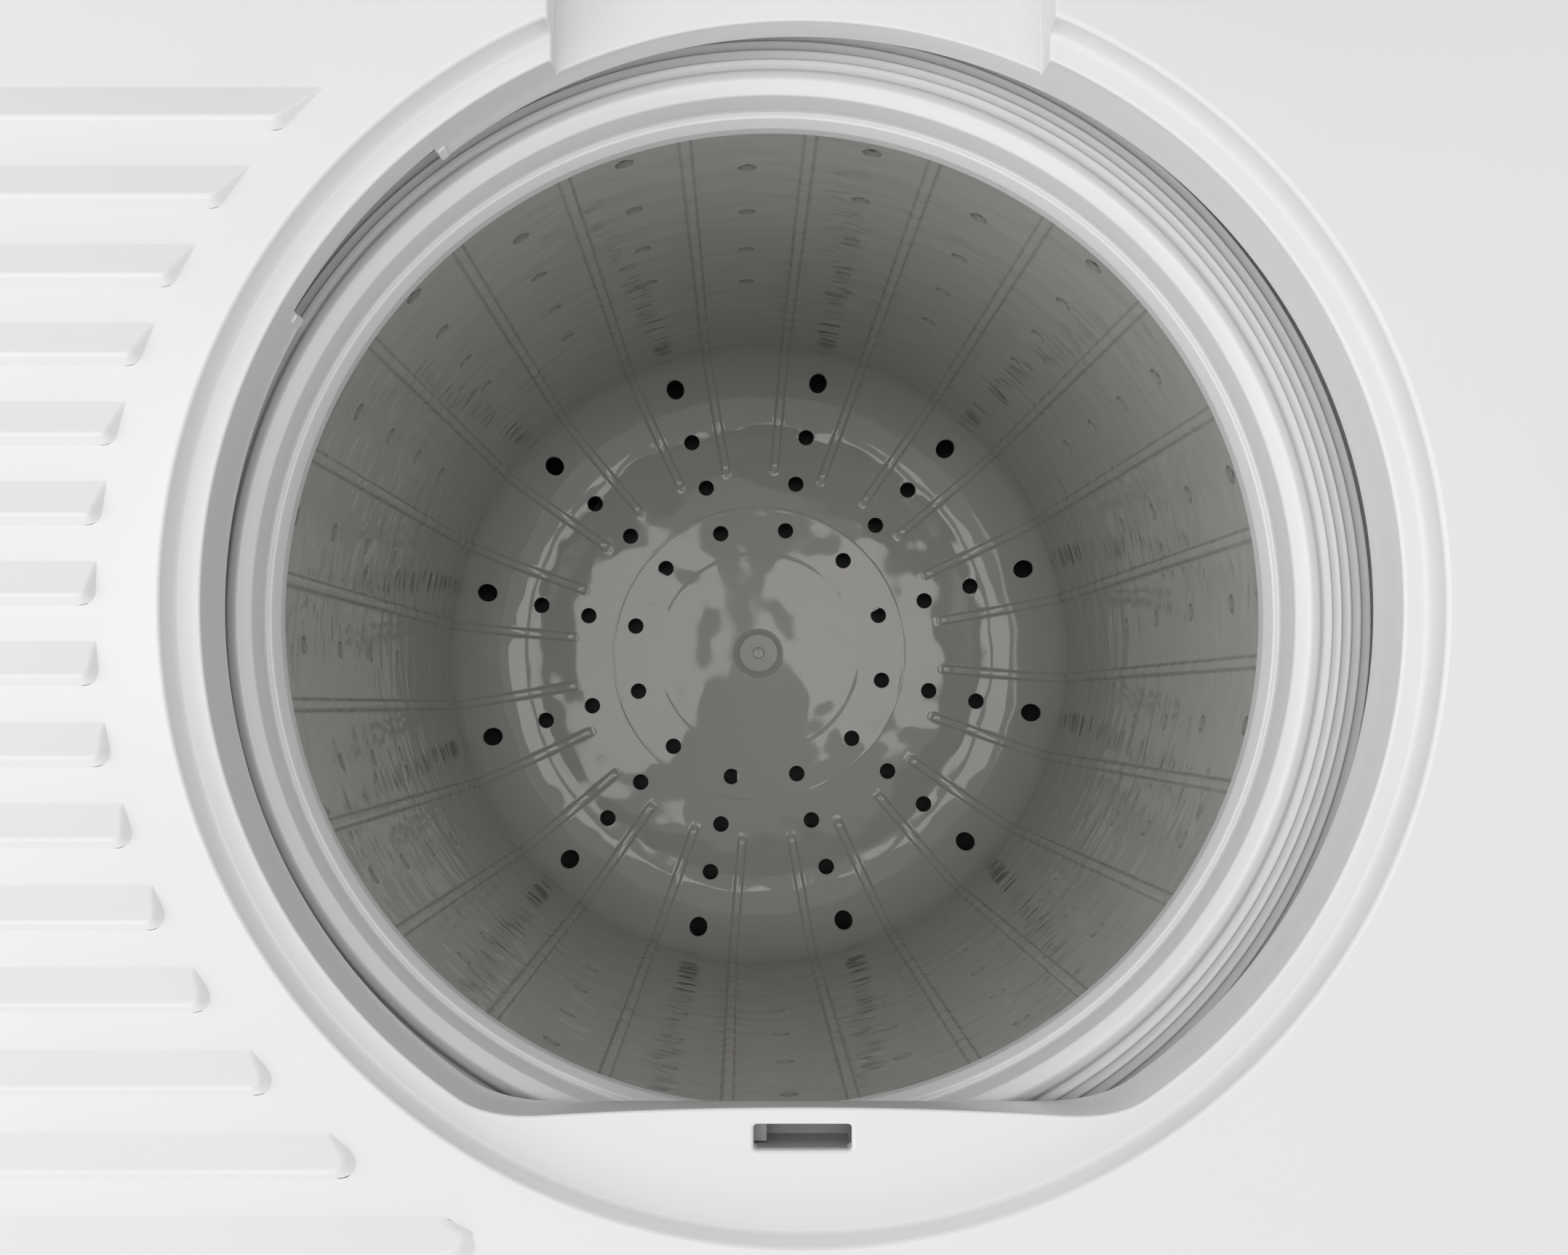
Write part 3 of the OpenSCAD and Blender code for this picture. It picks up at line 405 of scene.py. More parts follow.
def channel_angle(r):
    """Angle from +X at which a circle meets the channel's right side."""
    return math.degrees(math.acos((CHANNEL_HALF + SOFT_EDGE) / r))


def ring_angles():
    """Angles of the opening's columns, right side of the channel round the front to the left side."""
    end = channel_angle(COLLAR_R)
    span = 180 + 2 * end
    angles = [end - span * i / COLUMNS for i in range(COLUMNS + 1)]
    marks = [side - 360 + step for side in NOTCH for step in (-0.06, 0.06)]
    return sorted(angles + marks, reverse=True)


def opening_point(angle, radius, z, mid=None, bow=0.0, spread=0.0):
    """A point of an outline about the opening: a circle, cut in front by the ledge if mid is given."""
    end = channel_angle(COLLAR_R)
    own = channel_angle(radius + spread)
    turned = FRONT_ANGLE + (angle - FRONT_ANGLE) * (own - FRONT_ANGLE) / (end - FRONT_ANGLE)
    a = math.radians(turned)
    r = radius + spread
    if mid is not None and math.sin(a) < -0.3:
        x = math.cos(a) * (mid / -math.sin(a))
        ledge = mid + bow * min(abs(x) / LEDGE_HALF, 1.4) ** 2 + spread
        r = soft_min(r, ledge / -math.sin(a), CORNER_BLEND)
    return (r * math.cos(a), r * math.sin(a), z)


def edge_loops(angles, radius, z, size, mid=None, bow=0.0, steps=4):
    """Loops that round an inner edge from the wall below it to the flat above it."""
    loops = []
    for k in range(steps + 1):
        t = math.pi / 2 * k / steps
        drop = size * (1 - math.sin(t))
        spread = size * (1 - math.cos(t))
        loops.append([opening_point(a, radius, z - drop, mid, bow, spread) for a in angles])
    return loops


def collar_bottom(angle):
    """Height of the collar's lower edge, raised over the notch."""
    turned = angle + 360
    return -COLLAR_DROP + (NOTCH_RISE if NOTCH[0] < turned < NOTCH[1] else 0.0)


def collar_wall(angles):
    """The collar's wall from its lower edge up to the rounded edge of the ledge."""
    loops = []
    bottoms = [collar_bottom(a) for a in angles]
    for spread, lift in ((SHEET, 6.0), (SHEET, FOOT_LIFT), (SHEET - 0.4, 0.1), (SHEET / 2, 0.0), (0.4, 0.1),
                         (0.0, FOOT_LIFT)):
        loops.append([opening_point(a, COLLAR_FOOT_R, b + lift, LEDGE_FOOT, 0.0, spread)
                      for a, b in zip(angles, bottoms)])
    top = -RECESS_DEPTH - SOFT_EDGE
    for t in (0.25, 0.5, 0.75):
        row = []
        for a, b in zip(angles, bottoms):
            low = opening_point(a, COLLAR_FOOT_R, b + FOOT_LIFT, LEDGE_FOOT, 0.0)
            high = opening_point(a, COLLAR_R, top, LEDGE_MID, LEDGE_BOW)
            row.append(tuple(p + (q - p) * t for p, q in zip(low, high)))
        loops.append(row)
    return loops


def recess_loops(angles):
    """Ledge, foot fillet, wall and rounded rim of the round recess, from the inside out."""
    loops = edge_loops(angles, COLLAR_R, -RECESS_DEPTH, SOFT_EDGE, LEDGE_MID, LEDGE_BOW)
    loops.append([opening_point(a, COLLAR_R, -RECESS_DEPTH, LEDGE_MID, LEDGE_BOW, 1.4) for a in angles])
    inner = [(RECESS_R - 4.6, -RECESS_DEPTH, 0), (RECESS_R - 4.2, -RECESS_DEPTH, 0)]
    wall = [(RECESS_R - 4.0, -RECESS_DEPTH, 0), (RECESS_R - 0.9, -RECESS_DEPTH, 3.0), (RECESS_R, 0, 1.5),
            (RECESS_R + 3.2, 0, 0)]
    flat = [(RECESS_R + 3.6, 0.0), (RECESS_R + 4.4, 0.0)]
    for r, z in [p[:2] for p in inner] + rounded(wall, 8) + flat:
        loops.append([opening_point(a, r, z) for a in angles])
    return loops


def slot_outline(grow):
    """The latch slot's outline with small round corners, as points about the opening."""
    half_w = SLOT_SIZE[0] / 2 + grow
    half_d = SLOT_SIZE[1] / 2 + grow
    corner = 0.9 + grow
    out = []
    for cx, cy, start in ((1, 1, 0), (-1, 1, 90), (-1, -1, 180), (1, -1, 270)):
        for k in range(6):
            a = math.radians(start + 18 * k)
            out.append((cx * (half_w - corner) + corner * math.cos(a),
                        SLOT_Y + cy * (half_d - corner) + corner * math.sin(a)))
    return out


def make_ledge(shape, rows):
    """Fills the ledge between the collar's edge and the recess foot, round the latch slot."""
    inner, outer = rows
    centre = len(inner) // 2
    a, b = centre - LEDGE_REACH, centre + LEDGE_REACH
    for i in range(len(inner) - 1):
        if not a <= i < b:
            shape.faces.append((inner[i], inner[i + 1], outer[i + 1], outer[i]))
    border = inner[a:b + 1] + list(reversed(outer[a:b + 1]))
    outline = [shape.points[k][:2] for k in border]
    shape.fill([outline, slot_outline(RIM_GROW)], -RECESS_DEPTH)
    loops = []
    edge = ((RIM_GROW, 0.0), (0.75, 0.02), (0.35, 0.22), (0.08, 0.6), (0.0, 1.1), (0.0, SHEET + 3.0))
    for grow, drop in edge:
        loops.append([(x, y, -RECESS_DEPTH - drop) for x, y in slot_outline(grow)])
    shape.loft(loops)


def front_arc(r, edge_x, z, steps=60):
    """Points at a height along a circle, from one side of the channel to the other."""
    first = math.acos(edge_x / r)
    angles = [first + (math.pi - 2 * first) * i / steps for i in range(steps + 1)]
    return [(r * math.cos(a), r * math.sin(a), z) for a in angles]


def fill_upright(shape, outline):
    """A face over an upright outline, cut into triangles as seen from the front."""
    start = shape.loop(outline)[0]
    for a, b, c in tessellate_polygon([[Vector((p[0], p[2], 0)) for p in outline]]):
        shape.faces.append((start + a, start + b, start + c))


def make_channel(shape, ends, column):
    """The hinge channel: its rounded sides, back wall and floor, and its corners with the collar."""
    sides = {}
    for sign in (1, -1):
        edge = [(y, z) for _, y, z in ends] + [(CHANNEL_BACK + SOFT_EDGE, 0.0)]
        loops = []
        for k in range(5):
            t = math.pi / 2 * k / 4
            inset = SOFT_EDGE * math.sin(t)
            drop = SOFT_EDGE * (1 - math.cos(t))
            last = len(edge) - 1
            x = sign * (CHANNEL_HALF + SOFT_EDGE - inset)
            loops.append([(x, y - (inset if i == last else 0), z - drop) for i, (y, z) in enumerate(edge)])
        floor_z = -CHANNEL_DEPTH
        foot = loops[-1]
        loops.append([(sign * CHANNEL_HALF, p[1], floor_z + 0.8) for p in foot])
        loops.append([(sign * (CHANNEL_HALF - 0.25), p[1], floor_z + 0.25) for p in foot])
        loops.append([(sign * (CHANNEL_HALF - 0.8), p[1], floor_z) for p in foot])
        shape.loft(loops, closed=False)
        sides[sign] = loops
    shape.loft([[right[-1], left[-1]] for right, left in zip(sides[1], sides[-1])], closed=False)
    edge_x = CHANNEL_HALF - SOFT_EDGE
    arcs = []
    for k in range(5):
        t = math.pi / 2 * k / 4
        arcs.append(front_arc(COLLAR_R + SOFT_EDGE * (1 - math.sin(t)), edge_x,
                              -CHANNEL_DEPTH - SOFT_EDGE * (1 - math.cos(t))))
    for spread, lift in ((0.0, 0.5), (0.4, 0.1), (SHEET / 2, 0.0), (SHEET, 0.5), (SHEET, 6.0)):
        arcs.append(front_arc(COLLAR_FOOT_R + spread, CHANNEL_HALF + SOFT_EDGE, lift - COLLAR_DROP))
    shape.loft(arcs, closed=False)
    for sign, end in ((1, 0), (-1, -1)):
        edge = [points[0] for points in sides[sign]] + [points[end] for points in arcs[:5]]
        fill_upright(shape, [points[end] for points in column] + edge)
    outline = [p[:2] for p in arcs[0]] + [(-edge_x, CHANNEL_BACK), (edge_x, CHANNEL_BACK)]
    shape.fill([outline], -CHANNEL_DEPTH)


# Deck --------------------------------------------------------------------------
DECK_EDGE = 5.0
DECK_SKIRT = 28.0
DECK_CORNER = 16.0
DECK_FLAT = DECK_EDGE + 0.6


def deck_outline(inset, per_corner=14):
    """The deck's rounded outline, drawn in by an inset, about the opening."""
    lo, hi = box_mm("top_deck")
    x0, x1 = lo.x - OPENING.x + inset, hi.x - OPENING.x - inset
    y0, y1 = lo.y - OPENING.y + inset, hi.y - OPENING.y - inset
    r = max(DECK_CORNER - inset, 0.5)
    out = []
    corners = ((x1 - r, y1 - r, 0), (x0 + r, y1 - r, 90), (x0 + r, y0 + r, 180), (x1 - r, y0 + r, 270))
    for cx, cy, start in corners:
        for k in range(per_corner + 1):
            a = math.radians(start + 90 * k / per_corner)
            out.append((cx + r * math.cos(a), cy + r * math.sin(a)))
    return out


def make_deck_skin():
    """The deck's shown skin: plate, recess, ledge, collar, channel and skirt."""
    shape = Shape()
    angles = ring_angles()
    collar = collar_wall(angles)
    loops = collar + recess_loops(angles)
    rows = [shape.loop(points) for points in loops]
    wall = len(collar)
    ledge = wall + 5
    for i, (a, b) in enumerate(zip(rows, rows[1:])):
        if i != ledge:
            shape.bridge(a, b, closed=False)
    make_ledge(shape, (rows[ledge], rows[ledge + 1]))
    make_channel(shape, [points[0] for points in loops[wall:]], loops[wall - 4:wall])
    hole_x = CHANNEL_HALF + SOFT_EDGE
    hole_y = CHANNEL_BACK + SOFT_EDGE
    hole = [p[:2] for p in loops[-1]] + [(-hole_x, hole_y), (hole_x, hole_y)]
    shape.fill([deck_outline(DECK_FLAT), hole], 0.0)
    section = [(DECK_FLAT, 0.0), (DECK_EDGE + 0.3, 0.0)]
    for k in range(9):
        t = math.pi / 2 * k / 8
        section.append((DECK_EDGE * (1 - math.sin(t)), -DECK_EDGE * (1 - math.cos(t))))
    section += [(0.0, -DECK_EDGE - 0.4), (0.0, 1.2 - DECK_SKIRT), (0.3, 0.3 - DECK_SKIRT), (1.2, -DECK_SKIRT),
                (2.7, 0.2 - DECK_SKIRT), (2.9, 1.0 - DECK_SKIRT), (2.9, -4.0)]
    shape.loft([[(x, y, z) for x, y in deck_outline(inset)] for inset, z in section])
    return clean(shape.made("top_deck_moulding"))


# Washboard ramps ---------------------------------------------------------------
RAMP_COUNT = 15
RAMP_FIRST_Y = 129.1
RAMP_PITCH = 20.2
RAMP_LENGTH = 8.6
RAMP_FACE = 2.6
RAMP_TOTAL = RAMP_LENGTH + RAMP_FACE
RAMP_STEEPER = 1.15
RAMP_EDGE_BLEND = 2.4
RAMP_CREST_BLEND = 1.3
RAMP_RISE = 3.2
RAMP_CLEAR_R = 177.5
RAMP_END_RUN = 2.1
RAMP_LEFT = -243.0
RAMP_CORNER = 3.6


def ramp_height(back, end):
    """Height of a ramp at a distance in front of its rear edge and in from its end."""
    slope = RAMP_RISE * back / RAMP_LENGTH
    face = (RAMP_TOTAL - back) * RAMP_RISE / RAMP_FACE * RAMP_STEEPER
    side = end * RAMP_RISE / RAMP_END_RUN * RAMP_STEEPER
    edge = soft_min(face, side, RAMP_EDGE_BLEND)
    return max(soft_min(slope, edge, RAMP_CREST_BLEND) if back > 0.9 else min(slope, edge), 0.0)


def ramp_end(rear_y, back):
    """X of a ramp's end beside the opening, with its front corner rounded, and the end's slant."""
    front_y = rear_y - RAMP_TOTAL
    front_x = -math.sqrt(RAMP_CLEAR_R ** 2 - front_y ** 2)
    slope = front_y / front_x
    stretch = math.sqrt(1 + slope ** 2)
    centre_back = RAMP_TOTAL - RAMP_CORNER
    centre_x = front_x - RAMP_CORNER * (slope + stretch)
    if back > centre_back - RAMP_CORNER * slope / stretch:
        reach = math.sqrt(max(RAMP_CORNER ** 2 - (back - centre_back) ** 2, 0.0))
        return centre_x + reach, stretch
    return -math.sqrt(RAMP_CLEAR_R ** 2 - (rear_y - back) ** 2), stretch


def make_ramp(shape, rear_y):
    """One ramp, as a grid that follows its rounded right end."""
    backs = [0.0, 0.5, 1.2, 2.4, 4.0, 5.6, 6.4] + [7.0 + 0.25 * k for k in range(17)] + [RAMP_TOTAL]
    ends = [0.25 * k for k in range(16)] + [4.6, 5.5, 8.0, 14.0]
    left_ends = [14.0, 6.0] + [4.0 - 0.25 * k for k in range(17)]
    loops = []
    for back in backs:
        y = rear_y - back
        x_end, stretch = ramp_end(rear_y, back)
        row = [(x_end - e, y, ramp_height(back, e / stretch)) for e in ends]
        row += [(RAMP_LEFT + e, y, ramp_height(back, e)) for e in left_ends]
        loops.append(row)
    shape.loft(loops, closed=False)


def make_ramps():
    shape = Shape()
    for i in range(RAMP_COUNT):
        make_ramp(shape, RAMP_FIRST_Y - i * RAMP_PITCH)
    return clean(shape.made("ramps"))


def make_notch_tab(shape, angle):
    """A small rounded stop at one end of the collar's notch."""
    a = math.radians(angle)
    out = Vector((math.cos(a), math.sin(a), 0))
    side = Vector((-math.sin(a), math.cos(a), 0))
    foot = out * COLLAR_FOOT_R
    loops = []
    for depth, grow in ((-0.35, -0.5), (-0.28, -0.15), (-0.1, 0.0), (1.2, 0.0)):
        loop = []
        for cx, cz, start in ((1, 1, 0), (-1, 1, 90), (-1, -1, 180), (1, -1, 270)):
            for k in range(4):
                t = math.radians(start + 30 * k)
                x = cx * 0.6 + (0.8 + grow) * math.cos(t)
                z = cz * 2.4 + (0.8 + grow) * math.sin(t) - COLLAR_DROP + 3.6
                loop.append(tuple(foot + out * depth + side * x + Vector((0, 0, z))))
        loops.append(loop)
    rows = shape.loft(loops)
    shape.faces.append(tuple(rows[0]))


def make_deck():
    deck = make_deck_skin()
    tabs = Shape()
    for angle in (NOTCH[0] - 0.5, NOTCH[1] + 0.5):
        make_notch_tab(tabs, angle)
    join(deck, make_ramps(), tabs.made("tabs"))
    return finish_piece(deck, "deck", "cabinet", ("top_deck",), 50.0)


# Basket ------------------------------------------------------------------------
MOUTH_R = 140.0
MOUTH_DROP = 56.9
BASKET_R = 154.0
BASKET_DROP = 412.4
FLAT_R = 115.5
CORNER_RISE = 30.0
FLOOR_STEP = 0.12
WALL = 2.0
BEADS = 24
BEAD_FIRST = 10.05
BEAD_HALF = 2.7
BEAD_TOP = 0.4
BEAD_RISE = 1.15
BEAD_END_R = 97.4
BEAD_SPAN = 3.4
BEAD_NARROW_R = 45
CUTTER_SIDES = 24
SPOKES = 12
SPOKE_FIRST = 17.55
FLOOR_HOLES = ((65.2, 4.05), (90.2, 4.05), (115.2, 4.05), (142.5, 4.55))
WALL_HOLE_R = 3.2
WALL_HOLE_FIRST = 68.0
WALL_HOLE_PITCH = 46.4
WALL_HOLE_ROWS = 4
RING_BOTTOM = 66.0


def basket_profile():
    """The basket's inner surface from the middle of the floor to the rim: radius and height."""
    rows = [(r, 0.0) for r in (1.0, 14.0, 30.0, 50.8)] + [(51.6, -0.04), (52.4, -0.1)]
    rows += [(r, -FLOOR_STEP) for r in (53.2, 60.0, 66.0, 74.0)] + [(74.8, -0.03), (75.8, -0.03)]
    outer = (76.6, 84.0, 92.0, 94.4, 95.4, 96.2, 97.0, 98.0, 99.2, 101.0, 105.0, 110.0, 114.0)
    rows += [(r, -FLOOR_STEP) for r in outer]
    steps = 20
    for k in range(steps + 1):
        a = math.pi / 2 * k / steps
        rows.append((FLAT_R + (BASKET_R - FLAT_R) * math.sin(a), CORNER_RISE * (1 - math.cos(a))))
    wall_height = BASKET_DROP - CORNER_RISE - RING_BOTTOM + 3.0
    wall = [(BASKET_R, CORNER_RISE + wall_height * k / 16) for k in range(1, 17)]
    return [(r, z - BASKET_DROP) for r, z in rows + wall]


def bead_rise(r):
    """How far the beads stand up at a radius: none inside their rounded ends."""
    t = min(max((r - BEAD_END_R + 2.2) / 3.2, 0.0), 1.0)
    return BEAD_RISE * math.sqrt(1 - (1 - t) ** 2)


def basket_columns(r):
    """Angles and bead heights (0 to 1) of the columns round the basket at a radius."""
    sector = 360.0 / BEADS
    half = [1.05, 1.4, 1.75, 2.1, 2.45, 2.75, BEAD_SPAN]
    offsets = [-x for x in reversed(half)] + [0.0] + half
    widest = sector * 0.3
    out = []
    for i in range(BEADS):
        centre = BEAD_FIRST + i * sector
        for offset in offsets:
            turn = math.degrees(offset / r) if r >= BEAD_NARROW_R else widest * offset / BEAD_SPAN
            t = min(max((abs(offset) / BEAD_HALF - BEAD_TOP) / (1 - BEAD_TOP), 0.0), 1.0)
            out.append((centre + turn, (math.cos(math.pi * t) + 1) / 2))
        edge = math.degrees(BEAD_SPAN / r) if r >= BEAD_NARROW_R else widest
        for k in range(1, 8):
            out.append((centre + edge + (sector - 2 * edge) * k / 8, 0.0))
    return out


def basket_surface(rows, inward):
    """Loops of the basket's inner surface, with its beads, or of its outer surface."""
    loops = []
    for i, (r, z) in enumerate(rows):
        before = rows[max(i - 1, 0)]
        after = rows[min(i + 1, len(rows) - 1)]
        along = Vector((after[0] - before[0], after[1] - before[1])).normalized()
        normal = Vector((-along.y, along.x))
        loop = []
        for angle, height in basket_columns(max(r, 1.0)):
            rise = bead_rise(r) * height if inward else -WALL
            rr = max(r + normal.x * rise, 0.01)
            a = math.radians(angle)
            loop.append((rr * math.cos(a), rr * math.sin(a), z + normal.y * rise))
        loops.append(loop)
    return loops


def add_pin(bm, radius, length, place):
    bmesh.ops.create_cone(bm, cap_ends=True, segments=CUTTER_SIDES, radius1=radius * MM, radius2=radius * MM,
                          depth=length * MM, matrix=place)


def hole_cutters():
    """All the drain holes as one object of upright and radial pins."""
    bm = bmesh.new()
    for i in range(SPOKES):
        turn = Matrix.Rotation(math.radians(SPOKE_FIRST + i * 360 / SPOKES), 4, "Z")
        for ring, radius in FLOOR_HOLES:
            place = turn @ Matrix.Translation((ring * MM, 0, (-BASKET_DROP + 10) * MM))
            add_pin(bm, radius, 50, place)
    lying = Matrix.Rotation(math.pi / 2, 4, "Y")
    for i in range(BEADS):
        turn = Matrix.Rotation(math.radians(SPOKE_FIRST + i * 360 / BEADS), 4, "Z")
        half = 0.5 if i % 2 == 0 else 0.0
        for j in range(WALL_HOLE_ROWS):
            z = -MOUTH_DROP - WALL_HOLE_FIRST - (j - half) * WALL_HOLE_PITCH
            place = turn @ Matrix.Translation((BASKET_R * MM, 0, z * MM)) @ lying
            add_pin(bm, WALL_HOLE_R, 20, place)
    bmesh.ops.translate(bm, verts=bm.verts, vec=AXIS * MM)
    mesh = bpy.data.meshes.new("cutters")
    bm.to_mesh(mesh)
    bm.free()
    obj = bpy.data.objects.new("cutters", mesh)
    bpy.context.scene.collection.objects.link(obj)
    return obj


def make_basket():
    shape = Shape()
    rows = basket_profile()
    inner = basket_surface(rows, True)
    outer = basket_surface(rows, False)
    made = shape.loft(list(reversed(inner)) + outer)
    shape.bridge(made[-1], made[0])
    basket = clean(shape.made("spin_basket", AXIS), 0.02)
    cutters = hole_cutters()
    cut = basket.modifiers.new("holes", "BOOLEAN")
    cut.object = cutters
    cut.operation = "DIFFERENCE"
    cut.solver = "EXACT"
    apply_modifiers(basket)
    bpy.data.objects.remove(cutters)
    return finish_piece(basket, "basket", "spin_basket", ("basket",), 38.0)


RING_ROOT_R = MOUTH_R + 16
TREADS = 5
TREAD_FIRST = 151.3
TREAD_PITCH = 2.75
TREAD_Z = -37.0
TREAD_FALL = 0.3
TREAD_SHAPE = ((0.15, 0.0), (1.6, 0.0), (1.95, 0.1), (2.2, 0.11), (2.45, 0.04), (2.6, -0.18))


def make_balance_ring():
    """The ring round the basket's mouth: lip, hollow band, crown and the ridges outside it."""
    corners = [(RING_ROOT_R, -RING_BOTTOM, 0), (MOUTH_R + 1.2, -MOUTH_DROP - 3.2, 1.0),
               (MOUTH_R, -MOUTH_DROP, 1.2), (MOUTH_R - 0.1, -52.6, 1.8), (141.4, -47.9, 1.9),
               (142.9, -48.3, 0.8), (142.4, -44.0, 2.5), (143.4, -37.0, 1.5), (146.4, -34.0, 2.6),
               (149.8, -35.0, 2.0), (151.2, -37.4, 0)]
    profile = rounded(corners, 8)
    for i in range(TREADS):
        r = TREAD_FIRST + i * TREAD_PITCH
        z = TREAD_Z - i * TREAD_FALL
        profile += [(r + dr, z + dz) for dr, dz in TREAD_SHAPE]
    profile += rounded([(165.2, -38.9, 0), (167.6, -39.4, 0.6), (168.2, -42.0, 0.8), (165.3, -49.0, 1.0),
                        (163.0, -51.0, 1.0), (163.0, -RING_BOTTOM, 1.0), (RING_ROOT_R, -RING_BOTTOM, 0)], 4)
    ring = revolve("balance_ring_moulding", profile, AXIS, 360)
    return finish_piece(ring, "ring", "spin_basket", ("balance_ring",), 60.0, False)


def make_hub_cap():
    profile = rounded([(0.0, 1.9, 0), (2.6, 1.9, 0.4), (3.0, 2.6, 0.4), (9.6, 2.6, 1.4), (11.4, 1.5, 0.8),
                       (12.6, 1.2, 0.5), (12.6, 0.0, 0), (12.0, -0.3, 0)], 5)
    cap = revolve("hub_cap_moulding", [(r, z - BASKET_DROP) for r, z in profile], AXIS, 96)
    return finish_piece(cap, "cap", "spin_basket", ("hub_cap",), 50.0)


# Lid ---------------------------------------------------------------------------
LID_R = RECESS_R - 0.9
KNUCKLE_R = 6.95
ARM_FLOOR = -13.4
RIB_HALF = 0.9
RIB_TOP = 0.6
RIB_FOOT = -2.6


def swing_open(obj):
    """Turns a piece drawn closed back to the lid's rest pose."""
    pivot = Matrix.Translation(HINGE * MM)
    obj.data.transform(pivot @ Matrix.Rotation(-LID_OPEN, 4, "X") @ pivot.inverted())
    return obj


def lid_profile():
    """Half section of the lid: domed top, rolled rim and ribbed underside."""
    inner_r = LID_R - 3.0
    corners = [(0.0, 3.3, 0), (60.0, 3.3, 0), (112.0, 2.6, 6), (118.0, 1.5, 4), (140.0, 1.5, 6),
               (147.0, 3.2, 4), (157.5, 3.3, 3), (LID_R, 0.2, 1.6), (LID_R, -6.7, 1.0), (inner_r, -6.7, 0.8),
               (inner_r, -0.4, 1.5), (141.0, -1.0, 2), (112.0, -0.2, 3), (0.0, 0.4, 0)]
    return rounded(corners, 6)


def make_lid_arm():
    """The arm from the disc to the hinge, with its rolled knuckle."""
    half = CHANNEL_HALF - 2.0
    corners = [(139.0, -2.0, 0), (139.0, -1.0, 0.5), (HINGE_Y, -1.05, 0)]
    section = rounded(corners, 3)
    for k in range(17):
        a = math.radians(90 - 180 * k / 16)
        section.append((HINGE_Y + KNUCKLE_R * math.cos(a), -HINGE_DROP + KNUCKLE_R * math.sin(a)))
    section += rounded([(HINGE_Y - 8, ARM_FLOOR, 0), (HINGE_Y - 12, ARM_FLOOR, 0.5),
                        (HINGE_Y - 12, -4.0, 1.0),
                        (159.0, -4.0, 0.5), (157.0, -2.0, 0)], 3)
    shape = Shape()
    loops = []
    middle_y = HINGE_Y - 20
    ends = ((half, 0.9), (half - 0.25, 0.25), (half - 0.9, 0.0))
    for x, shrink in [(-x, shrink) for x, shrink in ends] + list(reversed(ends)):
        loops.append([(x, y + (shrink if y < middle_y else -shrink) * 0.6,
                       z + (shrink if z < -7 else -shrink) * 0.5) for y, z in section])
    rows = shape.loft(loops)
    shape.faces.append(tuple(rows[0]))
    shape.faces.append(tuple(reversed(rows[-1])))
    web = [(139.0, -2.2), (HINGE_Y - 6, -2.2), (HINGE_Y - 6, ARM_FLOOR), (HINGE_Y - 30, -13.0), (159.0, -6.6)]
    for side in (-1, 1):
        near = [(side * (half - 0.2), y, z) for y, z in web]
        far = [(side * (half - 3.0), y, z) for y, z in web]
        pair = shape.loft([near, far])
        shape.faces.append(tuple(pair[0]))
        shape.faces.append(tuple(reversed(pair[1])))
    return clean(shape.made("arm"))


def make_grip():
    """A finger bar near the lid's front edge, rounded along its crest."""
    shape = Shape()
    loops = []
    count = 24
    for k in range(count + 1):
        t = k / count
        x = -38.0 + 76.0 * t
        ease = math.sqrt(max(1 - (2 * t - 1) ** 8, 0.0))
        height = 2.0 + 3.2 * ease
        half = 2.4 + 1.9 * ease
        y0 = -LID_R + 18.5 + 0.0007 * x * x
        loop = []
        for s in range(13):
            a = math.pi * s / 12
            rise = height * math.sin(a) ** 0.7 if 0 < s < 12 else 0.0
            loop.append((x, y0 - half * math.cos(a), 1.9 + rise))
        loops.append(loop)
    rows = shape.loft(loops, closed=False)
    shape.faces.append(tuple(rows[0]))
    shape.faces.append(tuple(reversed(rows[-1])))
    return clean(shape.made("grip"))


def make_lid_ribs():
    """The spokes and rings that stiffen the lid's underside."""
    ribs = Shape()
    for i in range(12):
        a = math.radians(15 + 30 * i)
        out = Vector((math.cos(a), math.sin(a), 0))
        side = Vector((-math.sin(a), math.cos(a), 0)) * RIB_HALF
        for r0, r1 in ((30.0, 108.0), (120.0, 156.0)):
            corners = [out * r0 - side, out * r1 - side, out * r1 + side, out * r0 + side]
            top = [tuple(c + Vector((0, 0, RIB_TOP))) for c in corners]
            low = [tuple(c + Vector((0, 0, RIB_FOOT))) for c in corners]
            rows = ribs.loft([top, low])
            ribs.faces.append(tuple(reversed(rows[1])))
    for r in (30.0, 108.0):
        section = ((r - RIB_HALF, RIB_TOP), (r - RIB_HALF, RIB_FOOT), (r + RIB_HALF, RIB_FOOT),
                   (r + RIB_HALF, RIB_TOP))
        ribs.loft([circle(rr, z, 96) for rr, z in section])
    return ribs.made("ribs")


def make_lid():
    disc = revolve("lid_moulding", lid_profile(), OPENING, 256)
    join(disc, make_lid_arm(), make_grip(), make_lid_ribs())
    swing_open(disc)
    return finish_piece(disc, "lid", "lid", ("lid",), 42.0)


# Knobs and console ---------------------------------------------------------------
FLUTES = 20
FLUTE_STEPS = 12
FLUTE_DEPTH = 0.9
STEM_R = 3.0


def make_pointer(shape, r, height):
    """The raised line on a knob's face."""
    z0, z1 = height - 1.2, height + 1.4
    w = r * 0.09
    y0, y1 = r * 0.1, r * 0.68
    middle = (y0 + y1) / 2
    outline = [(-w, y0), (w, y0), (w, y1), (-w, y1)]
    low = [(x, y, z0) for x, y in outline]
    mid = [(x, y, z1 - 0.3) for x, y in outline]
    top = [(x * 0.7, middle + (y - middle) * 0.95, z1) for x, y in outline]
    rows = shape.loft([low, mid, top])
    shape.faces.append(tuple(rows[-1]))


